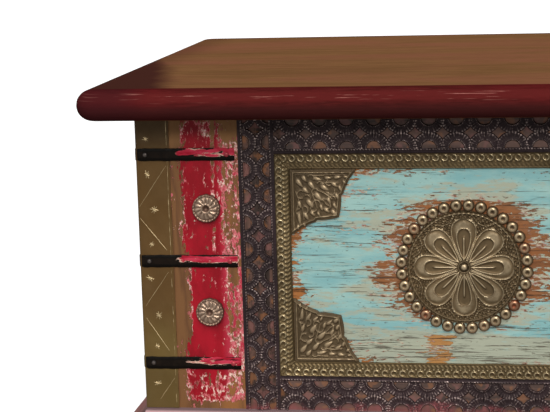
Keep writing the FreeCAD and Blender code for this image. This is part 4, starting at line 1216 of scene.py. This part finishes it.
def panel_paint(name, centre, face, knock_depth=0.0):
    """Turquoise for the panel whose middle is centre, in metres; a knock bares wood under the medallion."""
    finish = Finish(name)
    place = finish.place
    local = split(stretched(place, (1.0, 1.0, 1.0), tuple(-c for c in centre)))
    level, tall = local[0 if face == "front" else 1], local[2]
    streak = stretched(place, (1.0, 1.0, 4.5))
    wood = grain(stretched(place, (0.9, 0.9, 10.0)), fibre=20.0)
    off_middle = new_node(finish.tree, "CombineXYZ", {0: level * 0.8, 1: tall, 2: 0.0})[0]
    radius = Value(new_node(finish.tree, "VectorMath", {0: Value(off_middle)}, operation="LENGTH")["Value"])
    from_end = (FRONT_PANEL if face == "front" else SIDE_PANEL) / 2000 - TRIM_WIDTH / 1000 - abs(level)
    from_long = (PANEL_HEIGHT / 2 - TRIM_WIDTH) / 1000 - abs(tall)
    from_corner = from_end + from_long
    near_metal = larger(span(from_end, 0.018, 0.006), span(from_corner, 0.084, 0.072))
    bare = blend(span(wood["Figure"], 0.25, 0.8), (78, 56, 40), (124, 92, 66))
    bare = blend(span(noise(streak, 16.0, 4.0), 0.46, 0.62, 0.0, 0.7), bare, (144, 92, 50))
    bare = blend(near_metal * 0.65, bare, (172, 106, 48))
    bare = blend(span(radius, 0.080, 0.062, 0.0, 0.5), bare, (150, 90, 46))
    shifted = (noise(streak, 45.0, 5.0) - 0.5) * 0.06 + level
    knock = span(shifted, -0.040, -0.034) * span(shifted, -0.012, -0.018)
    knock = knock * span(abs(tall + 0.086), 0.021, 0.016)
    bare = blend(knock, bare, (170, 122, 70))
    broad = noise(stretched(place, (1.0, 1.0, 2.4)), 8.0, 3.0)
    lines = span(noise(stretched(place, (1.0, 1.0, 8.0)), 8.0, 3.0), 0.51, 0.61)
    wears = (
        span(radius, 0.088, 0.054, 0.0, 0.84) * span(tall, -0.055, -0.015, 0.55, 1.0),
        span(from_corner, 0.098, 0.062, 0.0, 0.34),
        span(from_end, 0.020, 0.001, 0.0, 0.55),
        span(from_long, 0.016, 0.001, 0.0, 0.30),
        span(level, -0.030, -0.060, 0.0, span(tall, -0.050, -0.085, 0.0, 0.25)),
        knock * knock_depth,
        lines * 0.30,
    )
    cover = (broad - 0.5) * 1.5 + 1.10
    for wear in wears:
        cover = cover - wear
    rim = span(noise(streak, 40.0, 2.0), 0.38, 0.62, 0.03, 0.30)
    chips = chipped(stretched(place, (1.0, 1.0, 3.4)), cover, 115.0, rim, 2.7)
    dashes = span(noise(stretched(place, (1.0, 1.0, 26.0)), 20.0, 6.0, 0.74), 0.55, 0.60)
    dashes = dashes * larger(lines, span(tall, -0.055, -0.075, 0.0, 0.8))
    specks = span(noise(stretched(place, (1.0, 1.0, 2.2)), 190.0, 3.0), 0.65, 0.71)
    cracks = span(noise(stretched(place, (1.2, 1.2, 80.0)), 7.0, 2.0), 0.625, 0.67)
    cracks = cracks * span(broad, 0.60, 0.52, 0.0, 0.8) * span(noise(streak, 55.0, 3.0), 0.44, 0.54)
    scratches = larger(larger(dashes, cracks), specks * 0.6)
    turquoise = blend(span(noise(streak, 11.0, 6.0, 0.7), 0.36, 0.64), (122, 170, 172), (150, 186, 180))
    beige = noise(streak, 17.0, 6.0, 0.7) + span(tall, -0.050, -0.080, 0.0, 0.16)
    beige = beige + span(radius, 0.100, 0.070, 0.0, 0.07)
    turquoise = blend(span(beige, 0.515, 0.625, 0.0, 0.8), turquoise, (166, 162, 138))
    primer = blend(span(noise(streak, 140.0, 3.0), 0.38, 0.60), (158, 112, 98), (188, 182, 158))
    colour = blend(chips["Paint"], blend(chips["Primer"], bare, primer), turquoise)
    colour = blend(scratches * 0.92, colour, (80, 60, 46))
    colour = bare_inside(finish, wood, colour)
    roughness = span(chips["Paint"], 0.0, 1.0, 0.68, 0.55)
    height = wood["Fibre"] * 0.3 + chips["Height"] - scratches
    return finish.done(colour, roughness, height, 0.35, specular=0.3)


panel_z = (BASE + PANEL_MIDDLE) / 1000
front_x = FRONT_CENTRE / 1000
panel_paints = {
    "front_panel_left": panel_paint("panel_paint_front_left", (-front_x, 0, panel_z), "front", 0.9),
    "front_panel_right": panel_paint("panel_paint_front_right", (front_x, 0, panel_z), "front"),
    "left_panel": panel_paint("panel_paint_left", (0, 0, panel_z), "left"),
    "right_panel": panel_paint("panel_paint_right", (0, 0, panel_z), "right"),
}

# %% [markdown]
# The lid is one stained board. Its top is brown, rubbed with wax, with the grain along its length.
# Its rounded edges were stained maroon, with a sharp start along the front and the back, and a dark
# stain spreads softly from the ends, widest at the corners. The round edge is painted lighter along its
# crown, with pale streaks, and darker below: painted highlight and painted shade. The distances from the
# edges, worked out from the object coordinates, say where each stain and each painted band lies.

# %% The lid
DARK_END = 0.100
DARK_DEPTH = 0.420


def lid_finish():
    """Brown board with maroon edges and dark front corners.

    At a distance a from the end and b from the front edge, the dark stain is full where
    a / DARK_END + b / DARK_DEPTH is below 0.8 and gone above 1.1.
    """
    finish = Finish("lid_finish")
    place = finish.place
    low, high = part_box("lid_board")
    wood = grain(stretched(place, (0.7, 7.0, 7.0)), 2.2, 60.0)
    broad = noise(stretched(place, (1.0, 2.6, 2.6)), 4.0, 4.0)
    drift = (noise(place, 14.0, 3.0) - 0.5) * 0.35
    brown = blend(span(wood["Figure"], 0.25, 0.85), (112, 80, 50), (130, 92, 60))
    brown = blend(span(broad, 0.36, 0.66, 0.0, 0.8), brown, (134, 86, 64))
    brown = blend(span(wood["Fibre"], 0.58, 0.36, 0.0, 0.35), brown, (96, 63, 41))
    brown = blend(wood["Pores"] * 0.4, brown, (52, 32, 22))
    maroon = blend(span(wood["Fibre"], 0.36, 0.66), (66, 23, 21), (86, 30, 29))
    maroon = blend(span(broad, 0.42, 0.68, 0.0, 0.5), maroon, (104, 22, 28))
    from_end = high.x - abs(finish.x)
    from_long = (high.y - low.y) / 2 - abs(finish.y - (low.y + high.y) / 2)
    from_front = finish.y - low.y
    down = high.z - finish.z
    reach = from_front * (1 / DARK_DEPTH) + from_end * (1 / DARK_END)
    dark_end = span(reach + drift, 1.10, 0.80)
    dark_end = larger(dark_end, span(drift * 0.012 + from_end, 0.018, 0.008, 0.0, 0.6))
    dark_end = larger(dark_end, span(drift * 0.03 + from_end, 0.065, 0.010, 0.0, 0.4))
    # the crown of the round edge and the pale streaks along it carry painted highlight
    crown = span(down, 0.0016, 0.004) * span(down, 0.013, 0.009)
    wear_and_sheen = span(noise(stretched(place, (1.0, 1.0, 40.0)), 20.0, 3.0), 0.60, 0.68) * crown
    stained = larger(span(drift * 0.003 + from_long, 0.0250, 0.0205), span(down, 0.003, 0.007))
    near_end = span(drift * 0.06 + from_end, 0.080, 0.040, 0.0, 0.65) * stained * span(from_front, 0.30, 0.15)
    colour = blend(dark_end * 0.97, brown, (66, 36, 31))
    colour = blend(stained, colour, maroon)
    # painted highlight: a lighter maroon along the crown of the round edge
    colour = blend(crown * 0.7, colour, (92, 32, 31))
    # painted shade: the round edge is darker below its crown, towards the underside
    colour = blend(span(down, 0.009, 0.021, 0.0, 0.8), colour, (58, 28, 27))
    # painted highlight: pale streaks along the crown of the round edge
    colour = blend(wear_and_sheen * 0.75, colour, (176, 118, 108))
    colour = blend(near_end, colour, (60, 24, 27))
    under = blend(1.0, brown, (0.62, 0.50, 0.44, 1.0), "MULTIPLY")
    colour = blend(span(down, 0.0288, 0.0296), colour, under)
    roughness = span(wood["Fibre"], 0.3, 0.7, 0.40, 0.52)
    return finish.done(colour, roughness, wood["Fibre"] - wood["Pores"] * 0.6, 0.12, specular=0.0)


lid_wood = lid_finish()

# %% [markdown]
# The frame wood behind the frieze is brown-pink and dusty; the inside boards and cleats are plain
# pale hardwood. Both use the wood grain group, turned with the board's length.

# %% Plain woods
ALONG_X, ALONG_Y, ALONG_Z = (0.8, 8.0, 8.0), (8.0, 0.8, 8.0), (8.0, 8.0, 0.8)


def plain_wood(name, stretch, tones=None):
    """Bare wood whose grain runs along the axis of least stretch; without tones it is frame wood."""
    finish = Finish(name)
    wood = grain(stretched(finish.place, stretch))
    if tones is None:
        colour = bare_inside(finish, wood, frame_tones(finish, wood))
    else:
        pores = (*(0.4 * c for c in srgb(*tones[0])[:3]), 1.0)
        colour = blend(wood["Pores"] * 0.5, blend(span(wood["Figure"], 0.25, 0.85), *tones), pores)
    return finish.done(colour, span(wood["Fibre"], 0.3, 0.7, 0.52, 0.68), wood["Fibre"], 0.25)


frame_wood_x = plain_wood("frame_wood_level", ALONG_X)
frame_wood_y = plain_wood("frame_wood_side", ALONG_Y)
frame_wood_z = plain_wood("frame_wood_upright", ALONG_Z)
board_wood_x = plain_wood("board_wood_level", ALONG_X, BOARD_TONES)
board_wood_y = plain_wood("board_wood_cross", ALONG_Y, BOARD_TONES)
turned_wood = plain_wood("turned_wood", ALONG_Z, ((70, 30, 26), (112, 54, 44)))

# %% [markdown]
# The plinth was painted a dull pink over red, and its upper edge shows the pink most, in a pale rim
# that is partly rubbed paint and partly painted highlight. Knocks along its mouldings have taken the
# paint down to dark wood. A dark band against the body's foot is painted shade.

# %% The plinth paint


def plinth_finish(name, stretch, foot_shade_reach):
    """Pinkish paint, broken up on the mouldings, over dark red-brown wood.

    The last argument is how far out from the body the painted shade at its foot reaches; a pale rim,
    partly rubbed paint and partly painted highlight, follows it.
    """
    finish = Finish(name)
    wood = grain(stretched(finish.place, stretch))
    streak = stretched(finish.place, tuple(0.7 if s < 1 else 3.4 for s in stretch))
    bare = blend(span(wood["Figure"], 0.25, 0.85), (48, 26, 22), (82, 48, 40))
    cover = span(finish.up, -0.034, -0.004, 0.0, 0.14) + 0.62 - span(finish.z, 0.077, 0.070, 0.0, 0.14)
    chips = chipped(streak, cover, 90.0, 0.08, 1.2)
    brushed = wood["Figure"] * 0.35 + noise(streak, 24.0, 5.0) * 0.65
    pink = blend(span(brushed, 0.32, 0.66), (126, 67, 64), (162, 115, 109))
    colour = blend(chips["Paint"], blend(chips["Primer"], bare, (164, 132, 122)), pink)
    off = larger(abs(finish.x) - HALF_LENGTH / 1000, abs(finish.y) - HALF_DEPTH / 1000)
    # pale rim along the top edge next to the body: partly rubbed paint, partly painted highlight
    wear_and_sheen = span(off, 0.010, 0.004) * span(chips["Paint"], 0.0, 1.0, 0.45, 0.85)
    colour = blend(wear_and_sheen, colour, (198, 163, 166))
    # painted shade: a dark band in the angle against the body's foot
    colour = blend(span(off, foot_shade_reach, 0.35 * foot_shade_reach, 0.0, 0.8), colour, (44, 20, 24))
    roughness = span(chips["Paint"], 0.0, 1.0, 0.6, 0.42)
    return finish.done(colour, roughness, wood["Fibre"] * 0.25 + chips["Height"], 0.3, specular=0.15)


plinth_long = plinth_finish("plinth_paint_long", ALONG_X, 0.0024)
plinth_short = plinth_finish("plinth_paint_short", ALONG_Y, 0.03)

# %% Dressing the CAD nodes that stay
dress = {
    front_post_paint: ("front_stile_left", "front_stile_right"),
    side_post_paint: ("left_stile_front", "left_stile_back", "right_stile_front", "right_stile_back"),
    frame_wood_x: ("front_top_rail", "front_bottom_rail"),
    frame_wood_y: ("left_top_rail", "left_bottom_rail", "right_top_rail", "right_bottom_rail"),
    frame_wood_z: ("front_centre_stile",),
    board_wood_x: ("back_boards", "floor_boards", "floor_cleats"),
    board_wood_y: ("lid_battens",),
    lid_wood: ("lid_board",),
    plinth_long: ("plinth_front", "plinth_back"),
    plinth_short: ("plinth_left", "plinth_right"),
    turned_wood: ("foot_front_left", "foot_front_right", "foot_back_left", "foot_back_right"),
    hinge_steel: ("hinge_body_leaves", "hinge_lid_leaves", "hinge_pins", "hinge_screws_body",
                  "hinge_screws_lid"),
}
dressed = [(name, material) for material, names in dress.items() for name in names]
dressed += panel_paints.items()
for name, material in dressed:
    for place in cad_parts[name].material_slots:
        place.material = material
print("dressed", len(dressed), "CAD nodes")

# %% Making the metal pieces
PLATE_INSET = TRIM_WIDTH + 0.3
for face in DRESSED_FACES:
    add_piece("frieze_uprights_" + face, face_uprights(face), frieze_iron, "pierced_metal", "frieze_" + face)
    add_piece("frieze_levels_" + face, face_levels(face), frieze_iron, "pierced_metal", "frieze_" + face)
for name in PANELS:
    add_piece("brass_trim_" + name, trim_frame(name), stamped_brass, "stamped_brass", "trim_" + name)
    disc = medallion(name)
    add_piece("beaten_medallion_" + name, disc, medallion_brass, "stamped_brass", "medallion_" + name)
add_piece("dome_studs", [ring_of_studs(name) for name in PANELS], stud_brass, "stamped_brass", "ring_studs")
add_piece("post_rosettes", rosettes(), rosette_brass, "stamped_brass", "rosette_studs")
for face in DRESSED_FACES:
    plates = [corner_plate(face, centre + side_u * (width / 2 - PLATE_INSET),
                           PANEL_MIDDLE + side_v * (PANEL_HEIGHT / 2 - PLATE_INSET), -side_u, -side_v)
              for f, centre, width in PANELS.values() if f == face
              for side_u in (-1, 1) for side_v in (-1, 1)]
    add_piece("leaf_plates_" + face, plates, plate_brass, "stamped_brass", "corner_plates_" + face)
for corner in CORNERS:
    casing = [corner_sheet(corner)] + engraving(corner)
    add_piece("brass_casing_" + corner, casing, engraved_brass, "engraved_brass", "corner_sheet_" + corner)
    bands = [strap(corner, level, i + 0.5) for i, level in enumerate(STRAP_LEVELS)]
    add_piece("iron_straps_" + corner, bands, strap_iron, "black_iron", "straps_" + corner)
add_piece("dome_nails", strap_nails(), nail_iron, "black_iron", "strap_nails")

# %% [markdown]
# The chest stands on a wide pale floor under soft studio lamps. In the photograph the shadow under
# the lid is short, so the stronger lamp stands low in front; a higher one models the relief, a weak
# fill comes from the left and a weaker one from behind, and the sky is pale. The camera stands
# where the photograph's did, found by matching measured corners of the chest, with a long lens and
# a slight roll.

# %% Floor
FLOOR_REACH = 14.0
FLOOR_GLOW = 0.90
floor_mesh = bpy.data.meshes.new("studio_floor")
corners = [(x * FLOOR_REACH, y * FLOOR_REACH, 0) for x, y in ((-1, -1), (1, -1), (1, 1), (-1, 1))]
floor_mesh.from_pydata(corners, [], [(0, 1, 2, 3)])
studio_floor = bpy.data.objects.new("studio_floor", floor_mesh)
bpy.context.scene.collection.objects.link(studio_floor)
floor_paint = Finish("floor_paint")
speckle = blend(noise(floor_paint.place, 3.0, 3.0), (0.28, 0.28, 0.28, 1.0), (0.31, 0.31, 0.31, 1.0))
floor_rough = span(noise(floor_paint.place, 40.0), 0.3, 0.7, 0.6, 0.75)
floor_mesh.materials.append(floor_paint.done(speckle, floor_rough, noise(floor_paint.place, 90.0), 0.1))
seen = Value(new_node(floor_paint.tree, "LightPath")["Is Camera Ray"]) * FLOOR_GLOW
floor_paint.shader.inputs["Emission Color"].default_value = (1.0, 1.0, 1.0, 1.0)
floor_paint.tree.links.new(seen.socket, floor_paint.shader.inputs["Emission Strength"])

# %% Lamps and sky
LAMP_DISTANCE = 4.0
SKY_STRENGTH = 0.18


def placed(name, data, right, up, back, origin):
    """An object whose own axes point right, up and back, at the origin given."""
    thing = bpy.data.objects.new(name, data)
    rows = np.eye(4)
    rows[:3] = np.stack([right, up, back, origin], axis=1)
    bpy.context.scene.collection.objects.link(thing)
    thing.matrix_world = Matrix(rows.tolist())
    return thing


def sun_lamp(name, bearing, height, spread, strength, colour=(1.0, 1.0, 1.0)):
    """A very wide soft lamp, far off: bearing is degrees to the right of the front, height above level."""
    lamp = bpy.data.lights.new(name, "SUN")
    lamp.angle = math.radians(spread)
    lamp.energy = strength
    lamp.color = colour
    bearing, height = math.radians(bearing), math.radians(height)
    level_share = math.cos(height)
    out = np.array([math.sin(bearing) * level_share, -math.cos(bearing) * level_share, math.sin(height)])
    level = np.cross((0, 0, 1), out)
    level = level / np.linalg.norm(level)
    placed(name, lamp, level, np.cross(out, level), out, LAMP_DISTANCE * out)


sun_lamp("low_key_lamp", 10, 27, 16, 1.31, (1.0, 0.98, 0.95))
sun_lamp("high_key_lamp", 14, 50, 26, 1.66, (1.0, 0.98, 0.95))
sun_lamp("fill_lamp", -50, 30, 60, 0.70, (0.95, 0.98, 1.0))
sun_lamp("back_lamp", 165, 30, 60, 0.45)
world = bpy.data.worlds.new("studio_sky")
bpy.context.scene.world = world
world.use_nodes = True
sky = next(n for n in world.node_tree.nodes if n.type == "BACKGROUND")
sky.inputs["Color"].default_value = (1.0, 1.0, 1.0, 1.0)
sky.inputs["Strength"].default_value = SKY_STRENGTH
bpy.context.scene.view_settings.view_transform = "Standard"

# %% The camera
CAMERA_PLACE = (-0.1197, -1.8738, 0.6246)
CAMERA_ANGLES = (9.367, 10.196, -1.712)
CAMERA_LENS = 111.31
yaw, pitch, roll = (math.radians(angle) for angle in CAMERA_ANGLES)
forward = np.array([-math.sin(yaw) * math.cos(pitch), math.cos(yaw) * math.cos(pitch), -math.sin(pitch)])
right = np.array([math.cos(yaw), math.sin(yaw), 0.0])
upward = np.cross(right, forward)
camera_right = right * math.cos(roll) + upward * math.sin(roll)
camera_up = upward * math.cos(roll) - right * math.sin(roll)
lens = bpy.data.cameras.new("photo_camera")
lens.lens = CAMERA_LENS
lens.sensor_width = 36.0
lens.clip_end = 60.0
bpy.context.scene.camera = placed("photo_camera", lens, camera_right, camera_up, -forward, CAMERA_PLACE)
